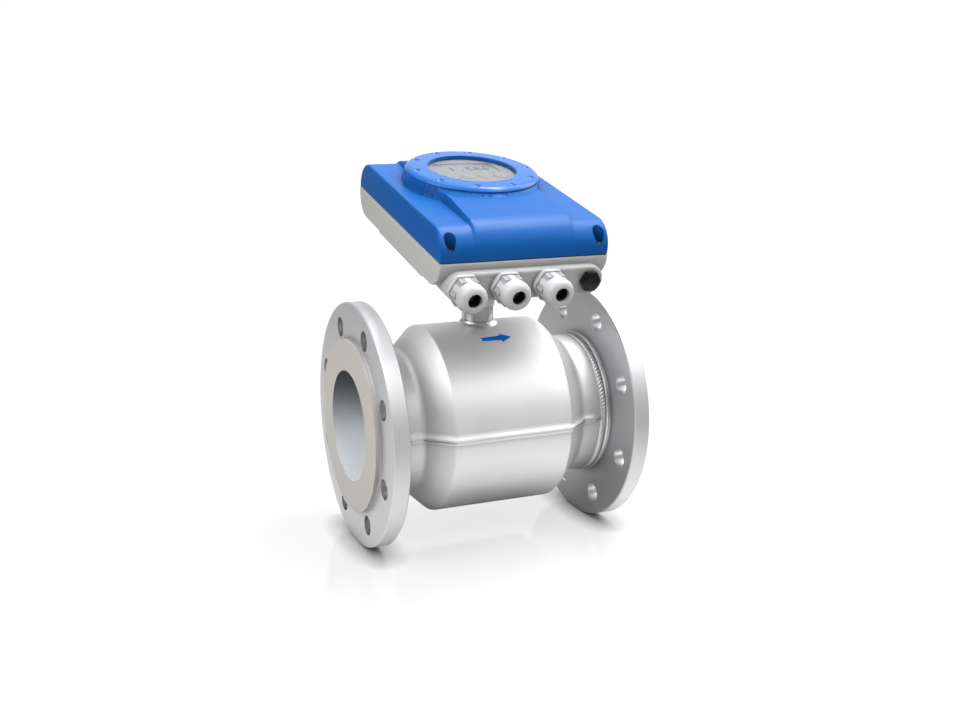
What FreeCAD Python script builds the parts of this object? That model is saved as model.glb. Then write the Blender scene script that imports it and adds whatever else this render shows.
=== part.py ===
import FreeCAD, Part
import math
import os
import re
import Sketcher
from FreeCAD import Placement, Rotation, Vector

# Flanged electromagnetic flow meter, millimetres. The frame's origin is on the pipe axis at
# mid-length, +X is the flow direction, +Z is up and the cable glands face -Y. The converter
# head is modelled upright in its own frame (x across, y along, z up from the parting plane)
# and then placed tilted on the neck.

SIZES = [
    # making
    ("running_gap", 0.05, "radial running clearance"),
    ("thread_gap", 0.05, "radial gap in the threaded fits"),
    ("cut_past", 1, "how far cuts run past a face"),
    # flow sensor
    ("face_to_face", 250, "built-in length over the liner flares"),
    ("bore_dia", 99, "clear bore through the liner"),
    ("liner_wall", 4, "liner thickness in the tube"),
    ("flare_thick", 3, "liner thickness over the raised faces"),
    ("flare_dia", 156, "diameter of the liner flares"),
    ("tube_wall", 3.65, "measuring tube wall"),
    ("step_height", 2, "raised face height"),
    ("step_dia", 158, "raised face diameter"),
    ("flange_rim", 20, "flange rim beyond the bolt circle"),
    ("flange_thick", 15, "flange thickness"),
    ("flange_edge", 1, "bevel on the flange rims"),
    ("bolt_circle_dia", 180, "bolt circle diameter"),
    ("bolt_hole_dia", 18, "bolt hole diameter"),
    ("bolt_count", 8, "bolt holes in a flange"),
    ("hub_out", 1.5, "step from the neck to the ring that it is welded to"),
    ("hub_length", 3, "length of that ring"),
    ("shell_dia", 170, "housing diameter"),
    ("neck_air", 4.85, "air gap between the measuring tube and the necks"),
    ("neck_length", 25, "length of the housing's necks"),
    ("cone_length", 22, "length of each cone"),
    ("shell_wall", 2.5, "housing wall"),
    ("crease_round", 8, "rounding of the pressed creases"),
    ("seam_out", 2, "how far the seam stands out"),
    ("seam_up", 1.4, "seam rim height on the upper half"),
    ("seam_down", 3.2, "seam rim height on the lower half"),
    ("seam_end", 8, "run of the seam's pointed ends"),
    ("bead_width", 5.5, "width of the ring welds"),
    ("bead_height", 2, "height of the welds"),
    # field system
    ("coil_air", 1.85, "air gap between coils and yoke"),
    ("yoke_wall", 2, "yoke sheet thickness"),
    ("yoke_length", 72, "yoke length"),
    ("coil_dia", 64, "outside of a field coil"),
    ("coil_wall", 9, "radial depth of a coil"),
    ("pole_dia", 24, "pole core diameter"),
    ("electrode_dia", 5, "electrode shank diameter"),
    ("electrode_head", 10, "electrode head diameter"),
    ("head_thick", 1.5, "electrode head thickness"),
    ("bush_dia", 12, "electrode bush diameter"),
    ("bush_out", 3, "bush stand-off above the tube"),
    ("nut_flats", 8, "electrode nut across flats"),
    ("nut_thick", 4, "electrode nut thickness"),
    # neck and adapter
    ("stem_dia", 28.8, "neck tube diameter"),
    ("stem_wall", 2.5, "neck tube wall"),
    ("stem_lap", 11, "how far the neck tube reaches into the adapter"),
    ("socket_foot", 101, "height of the adapter's lower edge"),
    ("socket_wall", 1.1, "adapter socket wall over the neck tube"),
    ("socket_length", 25, "straight length of the adapter socket"),
    ("plate_rim", 3.6655, "adapter plate beyond its screws' axes"),
    ("plate_thick", 6, "adapter plate thickness"),
    ("plate_step", 2, "step from the adapter's flare to its plate"),
    ("plate_pitch", 33, "spacing of the adapter screws"),
    ("screw_dia", 5, "adapter and cover screw diameter"),
    ("screw_head", 8.5, "screw head diameter"),
    ("screw_head_thick", 5, "screw head height"),
    # converter head
    ("head_tilt", 12.66, "tilt of the head, degrees"),
    ("seat_height", 152.7, "height of the head's seat on the neck axis"),
    ("stem_station", 100.2, "distance of the neck axis from the head's front"),
    ("head_side", 5, "head beyond the gland boss at each side"),
    ("head_length", 214, "head length"),
    ("head_wall", 3, "wall of base and cover"),
    ("corner_block", 17, "solid corner blocks for the cover screws"),
    ("gasket_thick", 1, "gasket thickness, and the parting gap"),
    ("gasket_inset", 1.2, "gasket set back from the outside"),
    ("base_depth", 25.2, "base depth under the parting plane"),
    ("pad_depth", 1.9, "bottom pad height"),
    ("pad_front", 43, "start of the bottom pad"),
    ("pad_end", 59, "end of the bottom pad in front of the head's back"),
    ("front_round", 22, "rounding of the head's front"),
    ("back_round", 23, "rounding of the head's back"),
    ("side_round", 1.2, "rounding of the head's long edges"),
    ("cover_height", 25.5, "cover height"),
    ("hump_width", 92, "width of the cover's hump"),
    ("hump_front", 4, "start of the hump"),
    ("hump_end", 5, "end of the hump in front of the head's back"),
    ("ridge_front", 66, "front end of the hump's level ridge"),
    ("ridge_end", 38, "end of the level ridge in front of the head's back"),
    ("hump_low", 29.2, "hump height at its ends"),
    ("hump_high", 32.6, "hump height beside the turret"),
    ("hump_round", 23, "rounding of the hump's ends"),
    ("turret_dia", 124, "turret diameter"),
    ("turret_height", 34.5, "turret top above the parting plane"),
    ("turret_station", 128, "turret axis from the head's front"),
    ("turret_blend", 25, "concave blend of turret and hump"),
    ("turret_roof", 3, "turret roof thickness"),
    ("opening_dia", 86, "display opening in the turret"),
    ("plate_seat_dia", 92.2, "recess that seats the display plate"),
    ("ledge_depth", 0.9, "depth of that recess's floor under the turret top"),
    ("collar_dia", 99.9, "collar that the window ring turns on"),
    ("collar_height", 1.7, "collar height above the turret top"),
    ("pocket_dia", 10.4, "cover screw pocket diameter"),
    ("pocket_inset", 5.7, "pocket axis from the head's ends"),
    ("pocket_side", 9.1, "pocket axis from the head's sides"),
    ("pocket_floor", 4, "pocket floor above the parting plane"),
    ("cover_screw_length", 15, "cover screw length under the head"),
    ("screw_play", 0.25, "radial play round the cover screws"),
    # window ring and display
    ("ring_dia", 121, "window ring diameter"),
    ("ring_hole_dia", 80.6, "window ring opening"),
    ("ring_top", 39.7, "window ring top above the parting plane"),
    ("ring_lip", 1.6, "height of the ring's outer lip"),
    ("ring_skirt", 2.2, "thickness of the ring's inner skirt"),
    ("ring_crown", 6, "width of the ring's outer slope"),
    ("crown_round", 7, "rounding of that slope"),
    ("ring_edge", 0.4, "bevel round the ring's opening"),
    ("dimple_circle", 107, "circle of the grip dimples"),
    ("dimple_ball", 5.4, "radius of the dimple cutter"),
    ("dimple_depth", 1.6, "dimple depth"),
    ("dimple_count", 10, "grip dimples"),
    ("display_thick", 2, "display plate thickness"),
    ("display_gap", 0.3, "gap round moving and display pieces"),
    ("lcd_width", 57, "visible width of the LCD"),
    ("lcd_depth", 27.4, "visible depth of the LCD"),
    ("lcd_station", 13.3, "LCD centre behind the turret axis"),
    ("lcd_frame", 2.5, "LCD frame hidden under the plate"),
    ("key_dia", 12.8, "display key diameter"),
    ("key_space", 2.6, "space between neighbouring keys"),
    ("key_station", 13, "key row in front of the turret axis"),
    ("key_travel", 0.6, "key travel"),
    ("key_proud", 0.3, "keys above the plate"),
    ("key_flange", 1, "width of the keys' retaining flange"),
    ("key_flange_thick", 0.8, "thickness of that flange"),
    ("key_stem_dia", 3, "key stem diameter"),
    ("board_thick", 1.6, "circuit board thickness"),
    ("display_board_dia", 80, "display board diameter"),
    ("display_drop", 3, "display board under the display plate"),
    ("stud_dia", 4, "display plate studs"),
    ("stud_circle", 73, "circle of the studs"),
    # main electronics
    ("post_dia", 7, "board post diameter"),
    ("post_height", 10.2, "board post height above the floor"),
    ("pilot_floor", 1, "metal left under the board screws"),
    ("post_side", 55, "board posts from the middle"),
    ("post_front", 50, "front board posts"),
    ("post_end", 39, "back board posts in front of the head's back"),
    ("board_edge", 5, "board edge beyond the posts"),
    ("board_screw_dia", 3, "board screw diameter"),
    ("board_screw_head", 5.6, "board screw head diameter"),
    ("terminal_width", 96, "terminal block width"),
    ("terminal_depth", 12, "terminal block depth"),
    ("terminal_height", 12, "terminal block height"),
    ("terminal_count", 12, "terminals in the block"),
    ("core_width", 40, "transformer core width"),
    ("core_depth", 34, "transformer core depth"),
    ("core_height", 12, "transformer core height"),
    ("winding_height", 20, "transformer winding height"),
    ("winding_reach", 3, "winding beyond the core at each side"),
    ("transformer_station", 147, "transformer centre from the head's front"),
    # cable entries
    ("entry_drop", 20.5, "cable entries under the parting plane"),
    ("entry_pitch", 38.6, "spacing of the cable entries"),
    ("boss_reach", 6, "gland boss in front of the base"),
    ("boss_half", 13, "half height of the gland boss"),
    ("boss_margin", 0.6, "straight part of the gland boss beyond the outer entries"),
    ("boss_level", 10, "start of the boss's rising underside"),
    ("boss_back", 32, "back end of the boss"),
    ("boss_round", 2.5, "rounding of the boss's front edge"),
    ("entry_depth", 20, "depth of the entry bores from the boss's face"),
    ("thread_dia", 20, "gland thread"),
    ("thread_length", 10, "gland thread length"),
    ("bevel_reach", 4, "width of the cone that bevels a hexagon"),
    ("gland_flats", 26, "gland body across flats"),
    ("gland_flange", 6, "gland body hexagon thickness"),
    ("gland_bore_dia", 13, "bore of the gland body"),
    ("spigot_dia", 20.4, "gland body thread for the nut"),
    ("spigot_length", 9, "length of that thread"),
    ("dome_flats", 24, "dome nut across flats"),
    ("dome_hex", 9.6, "length of the dome nut's hexagon"),
    ("dome_dia", 24.4, "dome diameter"),
    ("dome_length", 22, "dome nut length"),
    ("dome_round", 6, "rounding of the dome"),
    ("mouth_dia", 12, "dome nut mouth"),
    ("mouth_wall", 3.4, "dome nut wall at the mouth"),
    ("seal_dia", 18.6, "sealing insert diameter"),
    ("seal_bore_dia", 11, "cable hole in the sealing insert"),
    ("plug_flats", 16.4, "blanking plug across flats"),
    ("plug_head", 4, "blanking plug head height"),
    ("plug_thread", 12, "blanking plug thread"),
    ("plug_length", 8, "blanking plug thread length"),
    ("plug_seal_dia", 15.4, "plug seal diameter"),
    ("plug_seal_thick", 0.8, "plug seal thickness"),
]

doc = FreeCAD.newDocument("flow_meter")
sheet = doc.addObject("Spreadsheet::Sheet", "Sizes")
for row, (alias, size, meaning) in enumerate(SIZES, start=1):
    sheet.set(f"A{row}", meaning)
    sheet.set(f"B{row}", str(size))
    sheet.setAlias(f"B{row}", alias)
scratch = doc.addObject("Spreadsheet::Sheet", "Scratch")
doc.recompute()
bodies = []


# --- sizes and sketches ----------------------------------------------------------------------

def formula(text):
    """Turn size names into references to the sheet."""
    return re.sub(r"\b([a-z]+_[a-z_]+)\b", r"Sizes.\1", str(text))


def number(text):
    """Work a formula out with the sheet's values."""
    scratch.set("A1", "=" + formula(text))
    scratch.recompute()
    result = scratch.get("A1")
    return float(getattr(result, "Value", result))


def new_body(label, placement=Placement()):
    body = doc.addObject("PartDesign::Body", label)
    body.Label = label
    body.Placement = placement
    bodies.append(body)
    return body


def origin_feature(body, role):
    return next(item for item in body.Origin.OriginFeatures if item.Role == role)


def new_sketch(body, plane, name, lift="0", turn=None):
    """A sketch on one of the body's own planes, lifted along that plane's normal."""
    sketch = body.newObject("Sketcher::SketchObject", f"{body.Name}_{name}")
    sketch.AttachmentSupport = [(origin_feature(body, plane), "")]
    sketch.MapMode = "FlatFace"
    if turn is not None:
        sketch.AttachmentOffset = Placement(Vector(), Rotation(Vector(1, 0, 0), number(turn)))
        sketch.setExpression("AttachmentOffset.Rotation.Angle", formula(turn))
    sketch.setExpression("AttachmentOffset.Base.z", formula(lift))
    return sketch


def pin_point(sketch, geometry, end, x, y, spot):
    """Hold one point of the sketch at formulas measured from its origin."""
    for kind, text, place in (("DistanceX", x, spot.x), ("DistanceY", y, spot.y)):
        held = sketch.addConstraint(Sketcher.Constraint(kind, -1, 1, geometry, end, place))
        sketch.setExpression(f"Constraints[{held}]", formula(text))


def outline(sketch, corners):
    """Closed outline through (x, y) corners. A corner with a radius and a side starts an arc."""
    spots = [Vector(number(corner[0]), number(corner[1]), 0) for corner in corners]
    first = sketch.GeometryCount
    total = len(corners)
    ends = []
    for index, corner in enumerate(corners):
        start, stop = spots[index], spots[(index + 1) % total]
        if len(corner) == 2:
            sketch.addGeometry(Part.LineSegment(start, stop), False)
            ends.append((1, 2))
            continue
        radius, side = number(corner[2]), corner[3]
        chord = stop - start
        height = math.sqrt(max(radius ** 2 - chord.Length ** 2 / 4, 0))
        across = Vector(-chord.y, chord.x, 0).normalize() * side
        centre = (start + stop) / 2 + across * height
        middle = centre - across * radius
        sketch.addGeometry(Part.Arc(start, middle, stop), False)
        ends.append((1, 2) if side > 0 else (2, 1))
    for index in range(total):
        after = (index + 1) % total
        sketch.addConstraint(Sketcher.Constraint(
            "Coincident", first + index, ends[index][1], first + after, ends[after][0]))
    for index, corner in enumerate(corners):
        pin_point(sketch, first + index, ends[index][0], corner[0], corner[1], spots[index])
        if len(corner) == 4:
            bend = sketch.addConstraint(Sketcher.Constraint(
                "Radius", first + index, number(corner[2])))
            sketch.setExpression(f"Constraints[{bend}]", formula(corner[2]))


def disc(sketch, radius, x="0", y="0"):
    spot = Vector(number(x), number(y), 0)
    circle = Part.Circle(spot, Vector(0, 0, 1), number(radius))
    geometry = sketch.addGeometry(circle, False)
    pin_point(sketch, geometry, 3, x, y, spot)
    size = sketch.addConstraint(Sketcher.Constraint("Radius", geometry, number(radius)))
    sketch.setExpression(f"Constraints[{size}]", formula(radius))


def rectangle(sketch, left, right, low, high):
    outline(sketch, [(left, low), (right, low), (right, high), (left, high)])


def hexagon(sketch, flats):
    """Hexagon with flats above and below its centre."""
    reach = f"({flats}) / 2 / cos(30)"
    outline(sketch, [(f"{reach} * cos({60 * turn})", f"{reach} * sin({60 * turn})")
                     for turn in range(6)])


# --- features --------------------------------------------------------------------------------

def bind(feature, **formulas):
    for name, text in formulas.items():
        feature.setExpression(name, formula(text))


def pad(body, sketch, length, symmetric=False, down=False):
    feature = body.newObject("PartDesign::Pad", f"{sketch.Name}_pad")
    feature.Profile = sketch
    feature.SideType = "Symmetric" if symmetric else "One side"
    feature.Reversed = down
    bind(feature, Length=length)
    return feature


def pocket(body, sketch, length=None, symmetric=False, up=False):
    """A cut against the sketch's normal, or along it where up is set."""
    feature = body.newObject("PartDesign::Pocket", f"{sketch.Name}_cut")
    feature.Profile = sketch
    feature.SideType = "Symmetric" if symmetric else "One side"
    feature.Reversed = up
    if length is None:
        feature.Type = "ThroughAll"
    else:
        bind(feature, Length=length)
    return feature


def turned(body, sketch, axis, kind="Revolution", angle=360, back=False):
    feature = body.newObject(f"PartDesign::{kind}", f"{sketch.Name}_turned")
    feature.Profile = sketch
    feature.ReferenceAxis = (origin_feature(body, axis), [""])
    feature.Angle = angle
    feature.Reversed = back
    return feature


def polar(body, feature, axis, count):
    pattern = body.newObject("PartDesign::PolarPattern", f"{feature.Name}_ring")
    pattern.Originals = [feature]
    pattern.Axis = (origin_feature(body, axis), [""])
    pattern.Angle = 360
    bind(pattern, Occurrences=count)
    body.Tip = pattern
    return pattern


def mirrored(body, features, plane):
    pattern = body.newObject("PartDesign::Mirrored", f"{features[0].Name}_mirror")
    pattern.Originals = features
    pattern.MirrorPlane = (origin_feature(body, plane), [""])
    body.Tip = pattern
    return pattern


def lies_at(edge, x=None, y=None, z=None):
    """True if the whole edge lies at each coordinate that is given."""
    box = edge.BoundBox
    spans = ((x, box.XMin, box.XMax), (y, box.YMin, box.YMax), (z, box.ZMin, box.ZMax))
    return all(at is None or max(abs(low - at), abs(high - at)) < 0.02 for at, low, high in spans)


def dress(body, kind, size, name, chosen):
    """Fillet or chamfer every edge that the test picks."""
    doc.recompute()
    base = body.Tip
    edges = [f"Edge{place}" for place, edge in enumerate(base.Shape.Edges, 1) if chosen(edge)]
    if not edges:
        raise RuntimeError(f"{body.Label}: no edge for {name}")
    feature = body.newObject(f"PartDesign::{kind}", f"{body.Name}_{name}")
    feature.Base = (base, edges)
    bind(feature, **{"Radius" if kind == "Fillet" else "Size": size})
    return feature


# --- flow sensor -----------------------------------------------------------------------------

TUBE_IN = "(bore_dia / 2 + liner_wall)"
TUBE_OUT = "(bore_dia / 2 + liner_wall + tube_wall)"
STEP_X = "(face_to_face / 2 - flare_thick)"
BOLT_X = "(face_to_face / 2 - flare_thick - step_height)"
BACK_X = "(face_to_face / 2 - flare_thick - step_height - flange_thick)"
HUB_X = "(face_to_face / 2 - flare_thick - step_height - flange_thick - hub_length)"
FLANGE_R = "(bolt_circle_dia / 2 + flange_rim)"
NECK_R = f"({TUBE_OUT} + neck_air + shell_wall)"
HUB_R = f"({NECK_R} + hub_out)"
CONE_X = f"({HUB_X} - neck_length)"
FLAT_X = f"({CONE_X} - cone_length)"
CONE_TURN = f"atan((shell_dia / 2 - {NECK_R}) / cone_length)"
YOKE_IN = f"({TUBE_OUT} + coil_wall + coil_air)"
YOKE_OUT = f"({YOKE_IN} + yoke_wall)"


def flange(label, way):
    """Slip-on flange with a raised face and a short ring behind it for the housing neck."""
    body = new_body(label)
    profile = new_sketch(body, "XY_Plane", "profile")
    outline(profile, [
        (f"{way} * {HUB_X}", TUBE_OUT),
        (f"{way} * {HUB_X}", HUB_R),
        (f"{way} * {BACK_X}", HUB_R),
        (f"{way} * {BACK_X}", FLANGE_R),
        (f"{way} * {BOLT_X}", FLANGE_R),
        (f"{way} * {BOLT_X}", "step_dia / 2"),
        (f"{way} * {STEP_X}", "step_dia / 2"),
        (f"{way} * {STEP_X}", TUBE_OUT),
    ])
    turned(body, profile, "X_Axis")
    rim = number(FLANGE_R)
    dress(body, "Chamfer", "flange_edge", "rims",
          lambda edge: edge.Length > 6 * rim and abs(edge.BoundBox.ZMax - rim) < 0.02)
    hole = new_sketch(body, "YZ_Plane", "bolt_hole")
    disc(hole, "bolt_hole_dia / 2", "bolt_circle_dia / 2 * sin(180 / bolt_count)",
         "bolt_circle_dia / 2 * cos(180 / bolt_count)")
    cut = pocket(body, hole, "2 * face_to_face", symmetric=True)
    polar(body, cut, "X_Axis", "bolt_count")


def measuring_tube():
    """Plain tube, end to end through both flanges, with a hole at each side for an electrode."""
    body = new_body("measuring_tube")
    profile = new_sketch(body, "XY_Plane", "profile")
    rectangle(profile, f"-{STEP_X}", STEP_X, TUBE_IN, TUBE_OUT)
    turned(body, profile, "X_Axis")
    hole = new_sketch(body, "XZ_Plane", "electrode_hole")
    disc(hole, "bush_dia / 2 + running_gap")
    pocket(body, hole, f"4 * {TUBE_OUT}", symmetric=True)


def liner():
    """Moulded liner whose ends are flared over the raised faces."""
    body = new_body("liner")
    profile = new_sketch(body, "XY_Plane", "profile")
    outline(profile, [
        ("-face_to_face / 2", "bore_dia / 2"),
        ("face_to_face / 2", "bore_dia / 2"),
        ("face_to_face / 2", "flare_dia / 2"),
        (STEP_X, "flare_dia / 2"),
        (STEP_X, TUBE_IN),
        (f"-{STEP_X}", TUBE_IN),
        (f"-{STEP_X}", "flare_dia / 2"),
        ("-face_to_face / 2", "flare_dia / 2"),
    ])
    turned(body, profile, "X_Axis")
    seat = new_sketch(body, "XZ_Plane", "head_seat")
    disc(seat, "electrode_head / 2 + running_gap")
    pocket(body, seat, "bore_dia + 2 * head_thick", symmetric=True)
    shank = new_sketch(body, "XZ_Plane", "shank_hole")
    disc(shank, "electrode_dia / 2 + running_gap")
    pocket(body, shank, f"4 * {TUBE_OUT}", symmetric=True)


def electrode(side, way):
    """Flat-headed electrode, flush with the bore, with its insulating bush and nut."""
    face = "bore_dia / 2"
    tube_face = f"({TUBE_OUT})"
    nut_foot = f"({tube_face} + bush_out)"
    body = new_body(f"electrode_{side}")
    profile = new_sketch(body, "XY_Plane", "profile")
    outline(profile, [
        ("0", f"{way} * {face}"),
        ("electrode_head / 2", f"{way} * {face}"),
        ("electrode_head / 2", f"{way} * ({face} + head_thick)"),
        ("electrode_dia / 2", f"{way} * ({face} + head_thick)"),
        ("electrode_dia / 2", f"{way} * ({nut_foot} + nut_thick + electrode_dia / 2)"),
        ("0", f"{way} * ({nut_foot} + nut_thick + electrode_dia / 2)"),
    ])
    turned(body, profile, "Y_Axis")
    bush = new_body(f"electrode_bush_{side}")
    profile = new_sketch(bush, "XY_Plane", "profile")
    rectangle(profile, "electrode_dia / 2 + running_gap", "bush_dia / 2",
              f"{way} * {TUBE_IN}", f"{way} * {nut_foot}")
    turned(bush, profile, "Y_Axis")
    nut = new_body(f"electrode_nut_{side}")
    plan = new_sketch(nut, "XZ_Plane", "plan", lift=f"{-way} * {nut_foot}")
    hexagon(plan, "nut_flats")
    disc(plan, "electrode_dia / 2 + running_gap")
    pad(nut, plan, "nut_thick", down=way > 0)


def pole(label, way):
    """Pole core that stands on the tube and reaches the yoke, hollowed to sit on the tube."""
    body = new_body(label)
    plan = new_sketch(body, "XY_Plane", "plan")
    disc(plan, "pole_dia / 2")
    pad(body, plan, YOKE_IN, down=way < 0)
    seat = new_sketch(body, "XY_Plane", "seat")
    rectangle(seat, "-pole_dia", "pole_dia", "0", TUBE_OUT)
    turned(body, seat, "X_Axis", "Groove")
    top = new_sketch(body, "XY_Plane", "top")
    rectangle(top, "-pole_dia", "pole_dia", YOKE_IN, f"2 * {YOKE_OUT}")
    turned(body, top, "X_Axis", "Groove")


def coil(label, way):
    """Saddle coil: a flat ring bent round the tube, between the tube and the yoke."""
    body = new_body(label)
    plan = new_sketch(body, "XY_Plane", "plan")
    disc(plan, "coil_dia / 2")
    pad(body, plan, YOKE_OUT, down=way < 0)
    hole = new_sketch(body, "XY_Plane", "hole")
    disc(hole, "pole_dia / 2 + running_gap")
    pocket(body, hole, f"2 * {YOKE_OUT}", symmetric=True)
    seat = new_sketch(body, "XY_Plane", "seat")
    rectangle(seat, "-coil_dia", "coil_dia", "0", TUBE_OUT)
    turned(body, seat, "X_Axis", "Groove")
    top = new_sketch(body, "XY_Plane", "top")
    rectangle(top, "-coil_dia", "coil_dia", f"{TUBE_OUT} + coil_wall", f"2 * {YOKE_OUT}")
    turned(body, top, "X_Axis", "Groove")


def field_yoke():
    body = new_body("field_yoke")
    profile = new_sketch(body, "XY_Plane", "profile")
    rectangle(profile, "-yoke_length / 2", "yoke_length / 2", YOKE_IN, YOKE_OUT)
    turned(body, profile, "X_Axis")


def housing_half(label, way, rim):
    """Pressed half shell of the housing, with a rim along the split that is welded outside."""
    body = new_body(label)
    inset = f"shell_wall * tan({CONE_TURN} / 2)"
    flat, cone, end = FLAT_X, CONE_X, HUB_X
    outer, neck = "shell_dia / 2", NECK_R
    run = f"(crease_round * tan({CONE_TURN} / 2))"
    run_x, run_r = f"{run} * cos({CONE_TURN})", f"{run} * sin({CONE_TURN})"
    profile = new_sketch(body, "XY_Plane", "profile")
    outline(profile, [
        (f"-{end}", neck), (f"-{cone} - {run}", neck, "crease_round", 1),
        (f"-{cone} + {run_x}", f"{neck} + {run_r}"),
        (f"-{flat} - {run_x}", f"{outer} - {run_r}", "crease_round", -1),
        (f"-{flat} + {run}", outer), (f"{flat} - {run}", outer, "crease_round", -1),
        (f"{flat} + {run_x}", f"{outer} - {run_r}"),
        (f"{cone} - {run_x}", f"{neck} + {run_r}", "crease_round", 1),
        (f"{cone} + {run}", neck), (end, neck),
        (end, f"{neck} - shell_wall"), (f"{cone} - {inset}", f"{neck} - shell_wall"),
        (f"{flat} - {inset}", f"{outer} - shell_wall"),
        (f"-{flat} + {inset}", f"{outer} - shell_wall"),
        (f"-{cone} + {inset}", f"{neck} - shell_wall"), (f"-{end}", f"{neck} - shell_wall"),
    ])
    turned(body, profile, "X_Axis", angle=180, back=way < 0)
    middle = "shell_wall / 2"
    tip = f"({HUB_X} - bead_width)"
    seam = new_sketch(body, "XY_Plane", "seam")
    outline(seam, [
        (f"-{tip}", f"{neck} - {middle}"), (f"-{tip} + seam_end", f"{neck} + seam_out"),
        (f"-{cone}", f"{neck} + seam_out"), (f"-{flat}", f"{outer} + seam_out"),
        (flat, f"{outer} + seam_out"), (cone, f"{neck} + seam_out"),
        (f"{tip} - seam_end", f"{neck} + seam_out"), (tip, f"{neck} - {middle}"),
        (cone, f"{neck} - {middle}"), (flat, f"{outer} - {middle}"),
        (f"-{flat}", f"{outer} - {middle}"), (f"-{cone}", f"{neck} - {middle}"),
    ])
    ridge = pad(body, seam, rim, down=way < 0)
    mirrored(body, [ridge], "XZ_Plane")
    return body


def housing():
    upper = housing_half("housing_upper", 1, "seam_up")
    stem_hole = new_sketch(upper, "XY_Plane", "stem_hole")
    disc(stem_hole, "stem_dia / 2 + running_gap")
    pocket(upper, stem_hole, "shell_dia", up=True)
    housing_half("housing_lower", -1, "seam_down")


def ring_weld(label, way):
    """Weld bead round the end of a housing neck, against the flange's ring."""
    body = new_body(label)
    foot = NECK_R
    profile = new_sketch(body, "XY_Plane", "profile")
    outline(profile, [
        (f"{way} * {HUB_X}", foot),
        (f"{way} * {HUB_X}", f"{foot} + bead_height / 2"),
        (f"{way} * ({HUB_X} - bead_width / 4)", f"{foot} + bead_height"),
        (f"{way} * ({HUB_X} - bead_width * 3 / 4)", f"{foot} + bead_height * 3 / 4"),
        (f"{way} * ({HUB_X} - bead_width)", foot),
    ])
    turned(body, profile, "X_Axis")


def stem_weld():
    """Fillet weld round the foot of the neck tube, lying on the round housing."""
    body = new_body("stem_weld")
    foot = "stem_dia / 2 + running_gap"
    plan = new_sketch(body, "XY_Plane", "plan")
    disc(plan, "stem_dia / 2 + bead_height")
    disc(plan, foot)
    pad(body, plan, "shell_dia / 2 + 2 * bead_height")
    inside = new_sketch(body, "XY_Plane", "inside")
    rectangle(inside, "-stem_dia", "stem_dia", "0", "shell_dia / 2")
    turned(body, inside, "X_Axis", "Groove")
    outside = new_sketch(body, "XY_Plane", "outside")
    rectangle(outside, "-stem_dia", "stem_dia", "shell_dia / 2 + bead_height", "shell_dia")
    turned(body, outside, "X_Axis", "Groove")


def neck_tube():
    body = new_body("neck_tube")
    plan = new_sketch(body, "XY_Plane", "plan", lift="shell_dia / 2 - 2 * shell_wall")
    disc(plan, "stem_dia / 2")
    disc(plan, "stem_dia / 2 - stem_wall")
    pad(body, plan, "socket_foot + stem_lap - shell_dia / 2 + 2 * shell_wall")


PLATE_Z = "seat_height - plate_thick / cos(head_tilt)"
PLATE_STATION = "(stem_station - plate_thick * tan(head_tilt))"


def adapter():
    """Socket over the neck tube that flares to the tilted plate under the converter."""
    body = new_body("neck_adapter")
    socket_r, plate_r = "(stem_dia / 2 + socket_wall)", "(plate_pitch / sqrt(2) + plate_rim)"
    foot = new_sketch(body, "XY_Plane", "foot", lift="socket_foot")
    disc(foot, socket_r)
    pad(body, foot, "socket_length")
    low = new_sketch(body, "XY_Plane", "low", lift="socket_foot + socket_length")
    disc(low, socket_r)
    high = new_sketch(body, "XY_Plane", "high", lift=PLATE_Z, turn="head_tilt")
    disc(high, f"{plate_r} - plate_step")
    flare = body.newObject("PartDesign::AdditiveLoft", "neck_adapter_flare")
    flare.Profile = low
    flare.Sections = [high]
    flare.Ruled = True
    top = new_sketch(body, "XY_Plane", "top", lift=PLATE_Z, turn="head_tilt")
    disc(top, plate_r)
    pad(body, top, "plate_thick")
    bore = new_sketch(body, "XY_Plane", "bore")
    disc(bore, "stem_dia / 2 - stem_wall")
    pocket(body, bore, "2 * seat_height", up=True)
    socket = new_sketch(body, "XY_Plane", "socket")
    disc(socket, "stem_dia / 2 + running_gap")
    pocket(body, socket, "socket_foot + stem_lap", up=True)
    holes = new_sketch(body, "XY_Plane", "screw_holes", lift=PLATE_Z, turn="head_tilt")
    for across in (-1, 1):
        for along in (-1, 1):
            disc(holes, "screw_dia / 2 + thread_gap", f"{across} * plate_pitch / 2",
                 f"{along} * plate_pitch / 2")
    pocket(body, holes, "plate_thick", up=True)


# --- converter head --------------------------------------------------------------------------

HEAD_HALF = "(1.5 * entry_pitch + boss_margin + boss_half + head_side)"
FLOOR = "(base_depth - head_wall)"
PLATE_Z0 = "(turret_height - ledge_depth)"
BOARD_Z = "(turret_height - ledge_depth - display_drop)"
MAIN_Z = "(post_height - base_depth + head_wall)"


def head_place(x="0", y="0", z="0"):
    """Placement of a piece whose origin is at (x, y, z) in the head's own frame."""
    seat = Placement(Vector(0, 0, number("seat_height")),
                     Rotation(Vector(1, 0, 0), number("head_tilt")))
    place = Vector(number(x), number(f"({y}) - stem_station"),
                   number(f"({z}) + base_depth + pad_depth"))
    return seat * Placement(place, Rotation())


def four_discs(sketch, radius, side, front, back):
    for across in ("-1", "1"):
        for along in (front, back):
            disc(sketch, radius, f"{across} * ({side})", along)


def corner_discs(sketch, radius):
    four_discs(sketch, radius, f"{HEAD_HALF} - pocket_side", "pocket_inset",
               "head_length - pocket_inset")


def post_discs(sketch, radius):
    four_discs(sketch, radius, "post_side", "post_front", "head_length - post_end")


def adapter_discs(sketch, radius):
    four_discs(sketch, radius, "plate_pitch / 2", f"{PLATE_STATION} - plate_pitch / 2",
               f"{PLATE_STATION} + plate_pitch / 2")


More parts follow.
